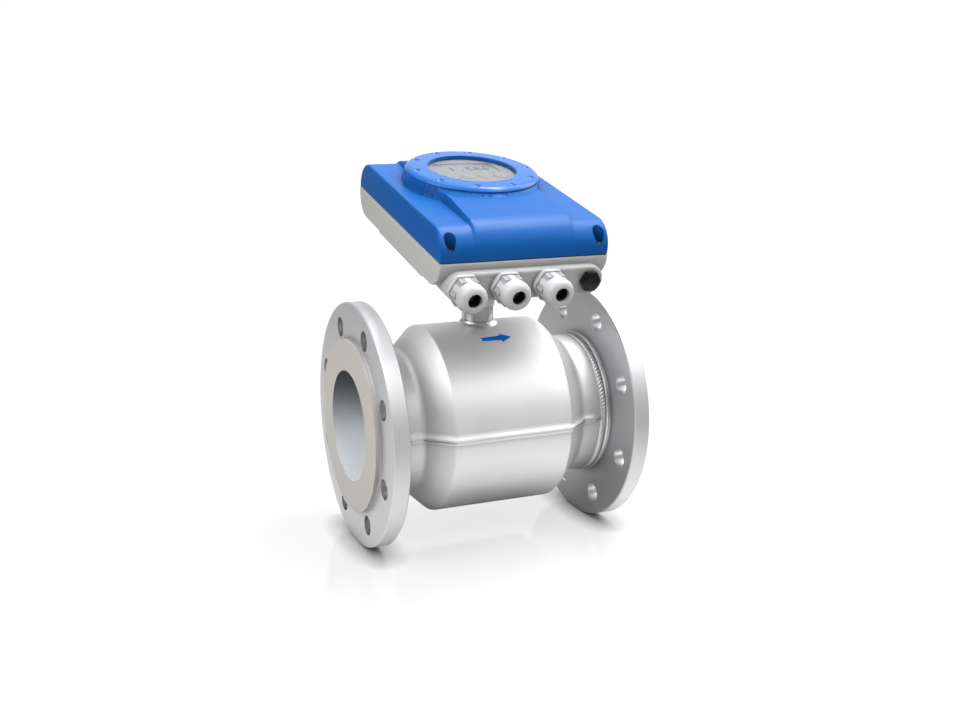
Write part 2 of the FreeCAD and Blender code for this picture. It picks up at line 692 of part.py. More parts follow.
def case_slab(body, way, foot, depth):
    """Outer block of base or cover: rounded front and back, slightly rounded long edges."""
    deep = f"{way} * {depth}"
    side = new_sketch(body, "YZ_Plane", "side")
    outline(side, [
        ("0", foot), ("head_length", foot),
        ("head_length", f"{way} * ({depth} - back_round)", "back_round", way),
        ("head_length - back_round", deep), ("front_round", deep, "front_round", way),
        ("0", f"{way} * ({depth} - front_round)"),
    ])
    pad(body, side, f"2 * {HEAD_HALF}", symmetric=True)
    half, parting = number(HEAD_HALF), number(foot)
    dress(body, "Fillet", "side_round", "sides",
          lambda edge: (lies_at(edge, x=half) or lies_at(edge, x=-half))
          and not lies_at(edge, z=parting))


def case_cavity(body, way, foot, depth):
    """Hollow of base or cover, which leaves solid blocks at the corners for the screws."""
    deep = f"{way} * ({depth} - head_wall)"
    long_cut = new_sketch(body, "YZ_Plane", "long_cavity")
    outline(long_cut, [
        ("head_wall", foot),
        ("head_wall", f"{way} * ({depth} - front_round)", "front_round - head_wall", -way),
        ("front_round", deep),
        ("head_length - back_round", deep, "back_round - head_wall", -way),
        ("head_length - head_wall", f"{way} * ({depth} - back_round)"),
        ("head_length - head_wall", foot),
    ])
    pocket(body, long_cut, f"2 * ({HEAD_HALF} - corner_block)", symmetric=True)
    wide_cut = new_sketch(body, "YZ_Plane", "wide_cavity")
    rectangle(wide_cut, "corner_block", "head_length - corner_block", foot, deep)
    pocket(body, wide_cut, f"2 * ({HEAD_HALF} - head_wall)", symmetric=True)


def entry_x(place):
    return f"({place} - 1.5) * entry_pitch"


def converter_base():
    """Cast base: rounded tray with a bottom pad, board posts and the boss for the glands."""
    body = new_body("converter_base", head_place())
    case_slab(body, -1, "-gasket_thick", "base_depth")
    foot = new_sketch(body, "YZ_Plane", "foot")
    rectangle(foot, "pad_front", "head_length - pad_end", "-base_depth - pad_depth",
              "-base_depth")
    pad(body, foot, f"2 * ({HEAD_HALF} - side_round)", symmetric=True)
    boss = new_sketch(body, "XZ_Plane", "boss", lift="boss_reach")
    low, high = "-entry_drop - boss_half", "boss_half - entry_drop"
    left, right = "-(1.5 * entry_pitch + boss_margin)", "(1.5 * entry_pitch + boss_margin)"
    outline(boss, [
        (left, low), (right, low, "boss_half", 1),
        (f"{right} + boss_half", "-entry_drop", "boss_half", 1), (right, high),
        (left, high, "boss_half", 1), (f"{left} - boss_half", "-entry_drop", "boss_half", 1),
    ])
    pad(body, boss, "boss_reach + boss_back", down=True)
    rise = new_sketch(body, "YZ_Plane", "boss_rise")
    under, behind = f"{low} - cut_past", "boss_back + cut_past"
    outline(rise, [("boss_level", low), ("boss_level", under), (behind, under),
                   (behind, "-base_depth"), ("boss_back", "-base_depth")])
    pocket(body, rise, f"2 * {HEAD_HALF}", symmetric=True)
    face = number("-boss_reach")
    dress(body, "Fillet", "boss_round", "boss_edge", lambda edge: lies_at(edge, y=face))
    case_cavity(body, -1, "-gasket_thick", "base_depth")
    posts = new_sketch(body, "XY_Plane", "posts", lift=f"-{FLOOR}")
    post_discs(posts, "post_dia / 2")
    pad(body, posts, "post_height")
    pilots = new_sketch(body, "XY_Plane", "pilots", lift=MAIN_Z)
    post_discs(pilots, "board_screw_dia / 2 + thread_gap")
    pocket(body, pilots, "post_height - pilot_floor")
    corners = new_sketch(body, "XY_Plane", "corner_threads", lift="-gasket_thick")
    corner_discs(corners, "screw_dia / 2 + thread_gap")
    pocket(body, corners, "cover_screw_length - pocket_floor")
    entries = new_sketch(body, "XZ_Plane", "entries", lift="boss_reach")
    for place in range(3):
        disc(entries, "thread_dia / 2 + thread_gap", entry_x(place), "-entry_drop")
    disc(entries, "plug_thread / 2 + thread_gap", entry_x(3), "-entry_drop")
    pocket(body, entries, "entry_depth")
    wires = new_sketch(body, "XY_Plane", "wire_hole")
    disc(wires, "stem_dia / 2 - stem_wall", "0", "stem_station")
    pocket(body, wires)
    seats = new_sketch(body, "XY_Plane", "seat_holes")
    adapter_discs(seats, "screw_dia / 2 + thread_gap")
    pocket(body, seats)


def cover_gasket():
    """Flat gasket with the outline of the rim: solid corners round the screws."""
    body = new_body("cover_gasket", head_place())
    plan = new_sketch(body, "XY_Plane", "plan", lift="-gasket_thick")
    edge = f"({HEAD_HALF} - gasket_inset)"
    rectangle(plan, f"-{edge}", edge, "gasket_inset", "head_length - gasket_inset")
    wide, slim = f"({HEAD_HALF} - head_wall)", f"({HEAD_HALF} - corner_block)"
    front, block = "head_wall", "corner_block"
    outline(plan, [
        (f"-{slim}", front), (slim, front), (slim, block), (wide, block),
        (wide, f"head_length - {block}"), (slim, f"head_length - {block}"),
        (slim, f"head_length - {front}"), (f"-{slim}", f"head_length - {front}"),
        (f"-{slim}", f"head_length - {block}"), (f"-{wide}", f"head_length - {block}"),
        (f"-{wide}", block), (f"-{slim}", block),
    ])
    corner_discs(plan, "screw_dia / 2 + screw_play")
    pad(body, plan, "gasket_thick")


def hump_block(body):
    """Raised hump along the cover: its walls sweep out round the turret in S-curves."""
    back, ridge_back = "(head_length - hump_end)", "(head_length - ridge_end)"
    round_turret, reach = "(turret_dia / 2)", "(turret_dia / 2 + turret_blend)"
    wall, bend = "(hump_width / 2)", "(hump_width / 2 + turret_blend)"
    swing = f"sqrt({reach}^2 - {bend}^2)"
    touch_x = f"({bend} * {round_turret} / {reach})"
    touch_y = f"({swing} * {round_turret} / {reach})"
    plan = new_sketch(body, "XY_Plane", "hump")
    outline(plan, [
        (f"-{wall}", "hump_front"), (wall, "hump_front"),
        (wall, f"turret_station - {swing}", "turret_blend", -1),
        (touch_x, f"turret_station - {touch_y}", "turret_dia / 2", 1),
        (touch_x, f"turret_station + {touch_y}", "turret_blend", -1),
        (wall, f"turret_station + {swing}"), (wall, back), (f"-{wall}", back),
        (f"-{wall}", f"turret_station + {swing}", "turret_blend", -1),
        (f"-{touch_x}", f"turret_station + {touch_y}", "turret_dia / 2", 1),
        (f"-{touch_x}", f"turret_station - {touch_y}", "turret_blend", -1),
        (f"-{wall}", f"turret_station - {swing}"),
    ])
    pad(body, plan, "hump_high")
    ends = new_sketch(body, "YZ_Plane", "hump_ends")
    low, above = "hump_low - hump_round", "hump_high + cut_past"
    outline(ends, [
        ("hump_front - cut_past", low), ("hump_front", low, "hump_round", -1),
        ("hump_front + hump_round", "hump_low"), ("ridge_front", "hump_high"),
        ("ridge_front", above), ("hump_front - cut_past", above),
    ])
    outline(ends, [
        (ridge_back, above), (ridge_back, "hump_high"),
        (f"{back} - hump_round", "hump_low", "hump_round", -1), (back, low),
        (f"{back} + cut_past", low), (f"{back} + cut_past", above),
    ])
    pocket(body, ends, f"4 * {HEAD_HALF}", symmetric=True)


def converter_cover():
    """Moulded cover: rounded tray, raised hump and the round turret that carries the display."""
    body = new_body("converter_cover", head_place())
    hump_block(body)
    turret = new_sketch(body, "XY_Plane", "turret")
    disc(turret, "turret_dia / 2", "0", "turret_station")
    pad(body, turret, "turret_height")
    case_slab(body, 1, "0", "cover_height")
    case_cavity(body, 1, "0", "cover_height")
    hollow = new_sketch(body, "YZ_Plane", "hump_cavity")
    rectangle(hollow, "hump_front + hump_round", "head_length - hump_end - hump_round", "0",
              "hump_low - head_wall")
    pocket(body, hollow, "hump_width - 2 * head_wall", symmetric=True)
    inside = new_sketch(body, "XY_Plane", "turret_cavity")
    disc(inside, "turret_dia / 2 - head_wall", "0", "turret_station")
    pocket(body, inside, "turret_height - turret_roof", up=True)
    collar = new_sketch(body, "XY_Plane", "collar", lift="turret_height")
    disc(collar, "collar_dia / 2", "0", "turret_station")
    pad(body, collar, "collar_height")
    seat = new_sketch(body, "XY_Plane", "display_seat", lift=PLATE_Z0)
    disc(seat, "plate_seat_dia / 2", "0", "turret_station")
    pocket(body, seat, up=True)
    opening = new_sketch(body, "XY_Plane", "opening")
    disc(opening, "opening_dia / 2", "0", "turret_station")
    pocket(body, opening, up=True)
    pockets = new_sketch(body, "XY_Plane", "screw_pockets", lift="pocket_floor")
    corner_discs(pockets, "pocket_dia / 2")
    pocket(body, pockets, up=True)
    holes = new_sketch(body, "XY_Plane", "screw_holes")
    corner_discs(holes, "screw_dia / 2 + screw_play")
    pocket(body, holes, "pocket_floor", up=True)


def screw_group(label, spots, head_z, head_dia, head_thick, shank_dia, length):
    """Cap screws pointing down, all in one piece of separate solids."""
    body = new_body(label, head_place())
    body.AllowCompound = True
    heads = new_sketch(body, "XY_Plane", "heads", lift=head_z)
    shanks = new_sketch(body, "XY_Plane", "shanks", lift=head_z)
    spots(heads, f"{head_dia} / 2")
    spots(shanks, f"{shank_dia} / 2")
    pad(body, heads, head_thick)
    pad(body, shanks, length, down=True)
    keys = new_sketch(body, "XY_Plane", "keys", lift=f"{head_z} + {head_thick} / 2")
    spots(keys, f"{shank_dia} / 3")
    pocket(body, keys, up=True)


def screws():
    screw_group("cover_screws", corner_discs, "pocket_floor", "screw_head", "screw_head_thick",
                "screw_dia", "cover_screw_length")
    screw_group("adapter_screws", adapter_discs, f"-{FLOOR}", "screw_head", "screw_head_thick",
                "screw_dia", "head_wall + pad_depth + plate_thick")
    screw_group("board_screws", post_discs, f"{MAIN_Z} + board_thick", "board_screw_head",
                "board_screw_dia / 2", "board_screw_dia", "board_thick + 2 * board_screw_dia")


def window_ring():
    """Grip ring that turns on the turret's collar, with round dimples for the fingers."""
    body = new_body("window_ring", head_place("0", "turret_station", "0"))
    skirt_z = f"{PLATE_Z0} + display_thick + display_gap"
    web_z = "turret_height + collar_height + display_gap"
    skirt, rim = "ring_hole_dia / 2 + ring_skirt", "ring_dia / 2"
    profile = new_sketch(body, "XZ_Plane", "profile")
    outline(profile, [
        ("ring_hole_dia / 2", skirt_z), (skirt, skirt_z), (skirt, web_z),
        ("collar_dia / 2 + running_gap", web_z), ("collar_dia / 2 + running_gap", "turret_height"),
        (rim, "turret_height"), (rim, "turret_height + ring_lip", "crown_round", 1),
        (f"{rim} - ring_crown", "ring_top - ring_edge"), (f"{skirt} - ring_edge", "ring_top"),
        ("ring_hole_dia / 2", "ring_top - ring_edge"),
    ])
    turned(body, profile, "Z_Axis")
    dimple = body.newObject("PartDesign::SubtractiveSphere", "window_ring_dimple")
    dimple.AttachmentSupport = [(origin_feature(body, "XY_Plane"), "")]
    dimple.MapMode = "FlatFace"
    bind(dimple, **{"Radius": "dimple_ball", "AttachmentOffset.Base.x": "dimple_circle / 2",
                    "AttachmentOffset.Base.z":
                    "ring_top - ring_edge - dimple_depth + dimple_ball"})
    polar(body, dimple, "Z_Axis", "dimple_count")


def key_x(place):
    return f"({place} - 1.5) * (key_dia + key_space)"


def display_plate():
    """Front plate of the display with the LCD window, the key holes and studs underneath."""
    body = new_body("display_plate", head_place("0", "turret_station", "0"))
    plan = new_sketch(body, "XY_Plane", "plan", lift=PLATE_Z0)
    disc(plan, "plate_seat_dia / 2 - running_gap")
    rectangle(plan, "-lcd_width / 2", "lcd_width / 2", "lcd_station - lcd_depth / 2",
              "lcd_station + lcd_depth / 2")
    for place in range(4):
        disc(plan, "key_dia / 2 + display_gap", key_x(place), "-key_station")
    pad(body, plan, "display_thick")
    stud = new_sketch(body, "XY_Plane", "stud", lift=BOARD_Z)
    disc(stud, "stud_dia / 2", "stud_circle / 2")
    polar(body, pad(body, stud, "display_drop"), "Z_Axis", 4)


def lcd_module():
    """LCD in its frame: the frame is under the plate, the glass stands in the window."""
    body = new_body("lcd_module", head_place("0", "turret_station", "0"))
    for name, edge, height in (("frame", "lcd_frame", "display_drop"),
                               ("glass", "-running_gap", "display_drop + display_thick - display_gap")):
        plan = new_sketch(body, "XY_Plane", name, lift=BOARD_Z)
        rectangle(plan, f"-lcd_width / 2 - {edge}", f"lcd_width / 2 + {edge}",
                  f"lcd_station - lcd_depth / 2 - ({edge})", f"lcd_station + lcd_depth / 2 + ({edge})")
        pad(body, plan, height)


def display_key(place):
    """Round key: cap, retaining flange under the plate and stem down to its switch."""
    body = new_body(f"display_key_{place + 1}",
                    head_place(key_x(place), "turret_station - key_station", "0"))
    cap, top = "key_dia / 2", f"{PLATE_Z0} + display_thick + key_proud"
    flange_top = f"{PLATE_Z0} - display_gap"
    profile = new_sketch(body, "XZ_Plane", "profile")
    outline(profile, [
        ("0", f"{BOARD_Z} + key_travel + running_gap"),
        ("key_stem_dia / 2", f"{BOARD_Z} + key_travel + running_gap"),
        ("key_stem_dia / 2", f"{flange_top} - key_flange_thick"),
        (f"{cap} + key_flange", f"{flange_top} - key_flange_thick"),
        (f"{cap} + key_flange", flange_top), (cap, flange_top),
        (cap, f"{top} - key_proud"), (f"{cap} - key_proud", top), ("0", top),
    ])
    turned(body, profile, "Z_Axis")


def boards():
    """Display board under the display, main board on the base's posts."""
    body = new_body("display_board", head_place("0", "turret_station", "0"))
    plan = new_sketch(body, "XY_Plane", "plan", lift=f"{BOARD_Z} - board_thick")
    disc(plan, "display_board_dia / 2")
    pad(body, plan, "board_thick")
    body = new_body("main_board", head_place())
    plan = new_sketch(body, "XY_Plane", "plan", lift=MAIN_Z)
    rectangle(plan, "-post_side - board_edge", "post_side + board_edge",
              "post_front - board_edge", "head_length - post_end + board_edge")
    post_discs(plan, "board_screw_dia / 2 + thread_gap")
    pad(body, plan, "board_thick")


def terminal_block():
    body = new_body("terminal_block", head_place("0", "post_front", f"{MAIN_Z} + board_thick"))
    plan = new_sketch(body, "XY_Plane", "plan")
    rectangle(plan, "-terminal_width / 2", "terminal_width / 2", "0", "terminal_depth")
    pad(body, plan, "terminal_height")
    pitch = "terminal_width / terminal_count"
    mouth = new_sketch(body, "XZ_Plane", "mouth")
    rectangle(mouth, f"{pitch} / 4 - terminal_width / 2", f"{pitch} * 3 / 4 - terminal_width / 2",
              "terminal_height / 4", "terminal_height / 2")
    cut = pocket(body, mouth, "terminal_depth / 2")
    row = body.newObject("PartDesign::LinearPattern", "terminal_block_row")
    row.Originals = [cut]
    row.Direction = (origin_feature(body, "X_Axis"), [""])
    bind(row, Length=f"terminal_width - {pitch}", Occurrences="terminal_count")
    body.Tip = row


def transformer():
    """Mains transformer: laminated core with the winding through it."""
    body = new_body("transformer", head_place("0", "transformer_station", f"{MAIN_Z} + board_thick"))
    core = new_sketch(body, "XY_Plane", "core")
    rectangle(core, "-core_width / 2", "core_width / 2", "-core_depth / 2", "core_depth / 2")
    pad(body, core, "core_height")
    winding = new_sketch(body, "XY_Plane", "winding")
    rectangle(winding, "-core_width / 3", "core_width / 3", "-core_depth / 2 - winding_reach",
              "core_depth / 2 + winding_reach")
    pad(body, winding, "winding_height")


# --- cable entries ---------------------------------------------------------------------------

NUT_Y = "(boss_reach + gland_flange + display_gap)"


def hex_bevel(body, flats, front, way, name):
    """Cone that bevels a hexagon's corners at one end."""
    cone = new_sketch(body, "XY_Plane", name)
    rim = f"{flats} / 2"
    outline(cone, [(rim, front), (f"{rim} + bevel_reach", front),
                   (f"{rim} + bevel_reach", f"{front} + {way} * bevel_reach * tan(30)")])
    turned(body, cone, "Y_Axis", "Groove")


def gland_body(place):
    """Gland body: thread into the base, hexagon and the thread that carries the dome nut."""
    body = new_body(f"gland_body_{place + 1}", head_place(entry_x(place), "0", "-entry_drop"))
    inner, face = "(thread_length - boss_reach)", "-boss_reach"
    core = new_sketch(body, "XY_Plane", "core")
    end = "-(boss_reach + gland_flange + spigot_length)"
    outline(core, [("0", end), ("spigot_dia / 2", end), ("spigot_dia / 2", face),
                   ("thread_dia / 2", face), ("thread_dia / 2", inner), ("0", inner)])
    turned(body, core, "Y_Axis")
    plan = new_sketch(body, "XZ_Plane", "hexagon", lift="boss_reach")
    hexagon(plan, "gland_flats")
    pad(body, plan, "gland_flange")
    hex_bevel(body, "gland_flats", "-(boss_reach + gland_flange)", 1, "bevel")
    bore = new_sketch(body, "XZ_Plane", "bore")
    disc(bore, "gland_bore_dia / 2")
    pocket(body, bore, "2 * head_length", symmetric=True)


def gland_nut(place):
    """Dome nut: hexagon with bevelled corners, then a smooth dome round the cable mouth."""
    body = new_body(f"gland_nut_{place + 1}", head_place(entry_x(place), "0", "-entry_drop"))
    end = f"-({NUT_Y} + dome_length)"
    neck = f"-({NUT_Y} + dome_hex)"
    dome = new_sketch(body, "XY_Plane", "dome")
    outline(dome, [
        ("0", end), ("dome_dia / 2 - dome_round", end, "dome_round", 1),
        ("dome_dia / 2", f"{end} + dome_round"), ("dome_dia / 2", neck), ("0", neck),
    ])
    turned(body, dome, "Y_Axis")
    plan = new_sketch(body, "XZ_Plane", "hexagon", lift=NUT_Y)
    hexagon(plan, "dome_flats")
    pad(body, plan, "dome_hex")
    hex_bevel(body, "dome_flats", f"-{NUT_Y}", -1, "back_bevel")
    hollow = new_sketch(body, "XY_Plane", "hollow")
    before, past = f"cut_past - {NUT_Y}", f"{end} - cut_past"
    shoulder = "-(boss_reach + gland_flange + spigot_length + display_gap)"
    outline(hollow, [
        ("0", before), ("spigot_dia / 2 + running_gap", before),
        ("spigot_dia / 2 + running_gap", shoulder), ("seal_dia / 2 + display_gap", shoulder),
        ("seal_dia / 2 + display_gap", f"{end} + mouth_wall"), ("mouth_dia / 2", f"{end} + mouth_wall"),
        ("mouth_dia / 2", past), ("0", past),
    ])
    turned(body, hollow, "Y_Axis", "Groove")


def gland_seal(place):
    """Rubber insert between the gland body's end and the dome."""
    body = new_body(f"gland_seal_{place + 1}", head_place(entry_x(place), "0", "-entry_drop"))
    profile = new_sketch(body, "XY_Plane", "profile")
    rectangle(profile, "seal_bore_dia / 2", "seal_dia / 2",
              f"mouth_wall + display_gap - {NUT_Y} - dome_length",
              "-(boss_reach + gland_flange + spigot_length)")
    turned(body, profile, "Y_Axis")


def blanking_plug():
    body = new_body("blanking_plug", head_place(entry_x(3), "0", "-entry_drop"))
    seat = "(boss_reach + plug_seal_thick)"
    shank = new_sketch(body, "XZ_Plane", "shank", lift=seat)
    disc(shank, "plug_thread / 2")
    pad(body, shank, "plug_length", down=True)
    head = new_sketch(body, "XZ_Plane", "head", lift=seat)
    hexagon(head, "plug_flats")
    pad(body, head, "plug_head")
    hex_bevel(body, "plug_flats", f"-({seat} + plug_head)", 1, "bevel")
    washer = new_body("plug_seal", head_place(entry_x(3), "0", "-entry_drop"))
    ring = new_sketch(washer, "XZ_Plane", "ring", lift="boss_reach")
    disc(ring, "plug_seal_dia / 2")
    disc(ring, "plug_thread / 2 + thread_gap")
    pad(washer, ring, "plug_seal_thick")


def build_sensor():
    flange("inlet_flange", -1)
    flange("outlet_flange", 1)
    measuring_tube()
    liner()
    electrode("front", -1)
    electrode("rear", 1)
    for name, way in (("upper", 1), ("lower", -1)):
        pole(f"pole_{name}", way)
        coil(f"coil_{name}", way)
    field_yoke()
    housing()
    ring_weld("weld_inlet", -1)
    ring_weld("weld_outlet", 1)
    stem_weld()
    neck_tube()
    adapter()


def build_head():
    converter_base()
    cover_gasket()
    converter_cover()
    screws()
    window_ring()
    display_plate()
    lcd_module()
    for place in range(4):
        display_key(place)
    boards()
    terminal_block()
    transformer()
    for place in range(3):
        gland_body(place)
        gland_nut(place)
        gland_seal(place)
    blanking_plug()


def check_and_export():
    doc.recompute()
    for item in doc.Objects:
        if {"Invalid", "Error"} & set(item.State):
            raise RuntimeError(f"{item.Label}: {item.State}")
    os.makedirs("parts", exist_ok=True)
    for body in bodies:
        shape = body.Shape
        if shape.isNull() or not shape.isValid() or not shape.Solids:
            raise RuntimeError(f"{body.Label}: the shape is empty or not valid")
        shape.exportStep(f"parts/{body.Label}.step")


build_sensor()
build_head()
check_and_export()
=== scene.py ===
# %% [markdown]
# A flanged flow meter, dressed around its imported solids.
# The instrument has three parts: a welded steel sensor that is bolted into a pipe, a short neck,
# and a tilted signal converter with a round display. The solids already have every size right,
# so this lesson adds what solids leave out: soft blends, weld ripples, ribs, print and finishes.

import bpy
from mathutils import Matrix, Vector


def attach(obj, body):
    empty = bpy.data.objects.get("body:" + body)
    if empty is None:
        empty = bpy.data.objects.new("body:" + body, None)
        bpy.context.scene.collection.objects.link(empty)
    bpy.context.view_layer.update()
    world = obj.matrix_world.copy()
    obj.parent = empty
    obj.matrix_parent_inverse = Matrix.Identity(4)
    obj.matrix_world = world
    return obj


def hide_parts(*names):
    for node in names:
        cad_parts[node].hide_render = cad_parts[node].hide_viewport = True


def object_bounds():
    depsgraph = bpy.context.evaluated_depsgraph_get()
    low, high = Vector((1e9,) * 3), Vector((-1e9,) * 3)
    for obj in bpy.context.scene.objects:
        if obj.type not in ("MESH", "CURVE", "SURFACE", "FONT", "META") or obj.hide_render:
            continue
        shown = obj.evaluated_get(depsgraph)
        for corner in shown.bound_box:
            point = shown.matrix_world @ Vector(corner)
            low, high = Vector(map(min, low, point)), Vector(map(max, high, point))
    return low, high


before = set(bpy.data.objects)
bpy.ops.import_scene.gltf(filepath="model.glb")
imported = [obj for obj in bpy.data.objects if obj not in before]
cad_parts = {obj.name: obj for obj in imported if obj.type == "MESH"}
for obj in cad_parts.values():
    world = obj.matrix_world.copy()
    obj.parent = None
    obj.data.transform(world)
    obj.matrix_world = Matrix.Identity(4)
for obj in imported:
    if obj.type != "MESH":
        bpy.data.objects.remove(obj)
solid_box = [list(corner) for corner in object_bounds()]

import math

import bmesh
import bpy
from mathutils import Matrix, Vector

# %% [markdown]
# All sizes in the lesson are in millimetres, as on a drawing, and one factor makes them metres.
# The converter sits on its neck with a tilt, so its pieces are modelled upright in their own
# frame: x across, y from the gland side to the back, z up from the parting plane. One matrix
# then puts them on the neck. The sensor's pieces are modelled in place, around the pipe axis.

# %% Frames
MM = 0.001
TILT = math.radians(12.66)
SEAT_HEIGHT = 152.7
STEM_STATION = 100.2
SEAT_DEPTH = 27.1
HEAD = (Matrix.Translation((0, 0, SEAT_HEIGHT * MM)) @ Matrix.Rotation(TILT, 4, "X")
        @ Matrix.Translation((0, -STEM_STATION * MM, SEAT_DEPTH * MM)))
SENSOR = Matrix.Identity(4)
print("converter origin:", [round(v, 4) for v in HEAD.translation])

# %% [markdown]
# The camera stands in front of the gland side, a little to the inlet's side and above.
# A long lens from a metre away keeps the two flanges nearly round.

# %% Camera
CAMERA_PLACE = (-0.42173, -0.99232, 0.29932)
CAMERA_TURN = [math.radians(angle) for angle in (76.927, -0.114, -23.132)]
FOCAL_LENGTH, SENSOR_WIDTH, FAR_END = 44.92, 36, 20
bpy.ops.object.camera_add(location=CAMERA_PLACE, rotation=CAMERA_TURN)
camera = bpy.context.object
camera.data.lens = FOCAL_LENGTH
camera.data.sensor_width = SENSOR_WIDTH
camera.data.clip_end = FAR_END
bpy.context.scene.camera = camera
print("camera distance:", round(camera.location.length, 3), "m")

# %% [markdown]
# The studio is a white sweep behind the object and a dimmer room behind the camera. The world
# gives even fill light. What the camera and the polished metal see of it is drawn apart: white
# behind and above, grey towards the room, so that round steel has something to reflect.

# %% Studio light
FILL_LEVEL = 0.28
ROOM_LEFT, ROOM_RIGHT, BACK_LEFT = 0.15, 0.52, 0.12


def link(tree, value, socket):
    """Link a value to a socket, or set it there where it is a plain number or colour."""
    if isinstance(value, bpy.types.NodeSocket):
        tree.links.new(value, socket)
    else:
        socket.default_value = value


def node(tree, kind, **settings):
    made = tree.nodes.new(kind)
    for name, value in settings.items():
        setattr(made, name, value)
    return made


def math_node(tree, operation, first, second=0.0, clamp=False):
    made = node(tree, "ShaderNodeMath", operation=operation, use_clamp=clamp)
    for socket, value in zip(made.inputs, (first, second)):
        link(tree, value, socket)
    return made.outputs[0]


def mix(tree, kind, factor, first, second):
    """Blend two values or colours. A mix node shows the sockets of its own kind only."""
    made = node(tree, "ShaderNodeMix", data_type=kind)
    shown = [socket for socket in made.inputs if socket.enabled]
    for socket, value in zip(shown, (factor, first, second)):
        link(tree, value, socket)
    return next(socket for socket in made.outputs if socket.enabled)


def fade(tree, value, start, end, low, high):
    """Map a value smoothly from one range onto another."""
    ramp = node(tree, "ShaderNodeMapRange", interpolation_type="SMOOTHSTEP")
    for socket, number in zip(list(ramp.inputs)[1:5], (start, end, low, high)):
        socket.default_value = number
    link(tree, value, ramp.inputs["Value"])
    return ramp.outputs["Result"]


def rays(tree):
    """Two masks: what the camera sees directly, and what it sees in a mirror or a glass."""
    path = node(tree, "ShaderNodeLightPath")
    return path.outputs["Is Camera Ray"], math_node(
        tree, "MAXIMUM", path.outputs["Is Glossy Ray"], path.outputs["Is Transmission Ray"])


world = bpy.data.worlds.new("studio")
bpy.context.scene.world = world
world.use_nodes = True
tree = world.node_tree
tree.nodes.clear()
direction = node(tree, "ShaderNodeSeparateXYZ")
link(tree, node(tree, "ShaderNodeTexCoord").outputs["Generated"], direction.inputs[0])
side = fade(tree, direction.outputs["X"], -0.7, 0.3, ROOM_LEFT, ROOM_RIGHT)
above = fade(tree, direction.outputs["Z"], 0.25, 0.85, 0, 1)
behind = math_node(tree, "MULTIPLY", fade(tree, direction.outputs["Y"], -0.45, 0.25, 0, 1),
                   fade(tree, direction.outputs["X"], -0.5, 0.2, BACK_LEFT, 1))
sweep = math_node(tree, "MAXIMUM", side, math_node(tree, "MAXIMUM", above, behind))
camera_rays, mirrors = rays(tree)
level = mix(tree, "FLOAT", camera_rays, mix(tree, "FLOAT", mirrors, FILL_LEVEL, sweep), 1.0)
background = node(tree, "ShaderNodeBackground")
link(tree, (1, 1, 1, 1), background.inputs["Color"])
link(tree, level, background.inputs["Strength"])
link(tree, background.outputs[0], node(tree, "ShaderNodeOutputWorld").inputs["Surface"])


def softbox(name, place, target, size, power):
    """A rectangular lamp that faces a point."""
    bpy.ops.object.light_add(type="AREA", location=place)
    lamp = bpy.context.object
    lamp.name = name
    lamp.rotation_euler = (Vector(target) - Vector(place)).to_track_quat("-Z", "Y").to_euler()
    lamp.data.shape = "RECTANGLE"
    lamp.data.size, lamp.data.size_y = size
    lamp.data.energy = power
    print(name, "softbox:", power, "W")


softbox("overhead", (0.20, 0.00, 1.60), (0, 0, 0.1), (1.6, 1.5), 10)
softbox("right", (0.95, 0.05, 0.95), (0, 0, 0.1), (0.8, 0.8), 6)
softbox("strip", (0.46, -0.03, 1.32), (0, -0.08, 0.2), (1.0, 0.22), 11)
softbox("front", (0.50, -1.00, 1.05), (0, 0, 0.05), (1.3, 0.9), 6)
softbox("side", (-1.00, -0.32, 0.88), (0, 0, 0.05), (0.9, 0.8), 10.5)
bpy.context.scene.view_settings.view_transform = "Standard"

# %% [markdown]
# The floor is a large disc, white and faintly glossy, so that it shows a soft mirror image and
# keeps the shadows under the flanges, part real and part painted. Its far edge melts into the
# white world, because the camera sees a little of its own glow on top of the light it gets.
# Mirrors see that glow only in a painted pool of light on the inlet's side, with painted shade
# right under the object.
# Where something stands close to the floor, the glow fades into painted contact shadows.

# %% Floor
NEAR_GLOW, FAR_GLOW = 0.66, 0.90
GLOW_START, GLOW_END = 0.3, 2.5
SHADE_START, SHADE_END = 0.05, 0.16
POOL_CENTRE, POOL_START, POOL_END, POOL_LEVEL = (-0.2, 0.3, 0), 0.55, 0.95, 1.25
CONTACT_REACH, CONTACT_POWER = 0.024, 1.8
FLOOR_RADIUS, FLOOR_GREY, FLOOR_SHEEN, SHEEN_ROUGHNESS = 9, 0.26, 0.13, 0.10

floor_height = solid_box[0][2]
bpy.ops.mesh.primitive_circle_add(vertices=96, radius=FLOOR_RADIUS, fill_type="NGON",
                                  location=(0, 0, floor_height))
floor = bpy.context.object
floor.name = "floor"
white = bpy.data.materials.new("white_sweep")
white.use_nodes = True
tree = white.node_tree
tree.nodes.clear()
paint = node(tree, "ShaderNodeBsdfDiffuse")
link(tree, (FLOOR_GREY, FLOOR_GREY, FLOOR_GREY, 1), paint.inputs["Color"])
gloss = node(tree, "ShaderNodeBsdfGlossy")
link(tree, SHEEN_ROUGHNESS, gloss.inputs["Roughness"])
mixed = node(tree, "ShaderNodeMixShader")
link(tree, FLOOR_SHEEN, mixed.inputs["Fac"])
link(tree, paint.outputs[0], mixed.inputs[1])
link(tree, gloss.outputs[0], mixed.inputs[2])
spot = node(tree, "ShaderNodeTexCoord").outputs["Object"]


def distance_from(point):
    """How far a spot of the floor is from a point."""
    away = node(tree, "ShaderNodeVectorMath", operation="DISTANCE")
    link(tree, spot, away.inputs[0])
    link(tree, point, away.inputs[1])
    return away.outputs["Value"]


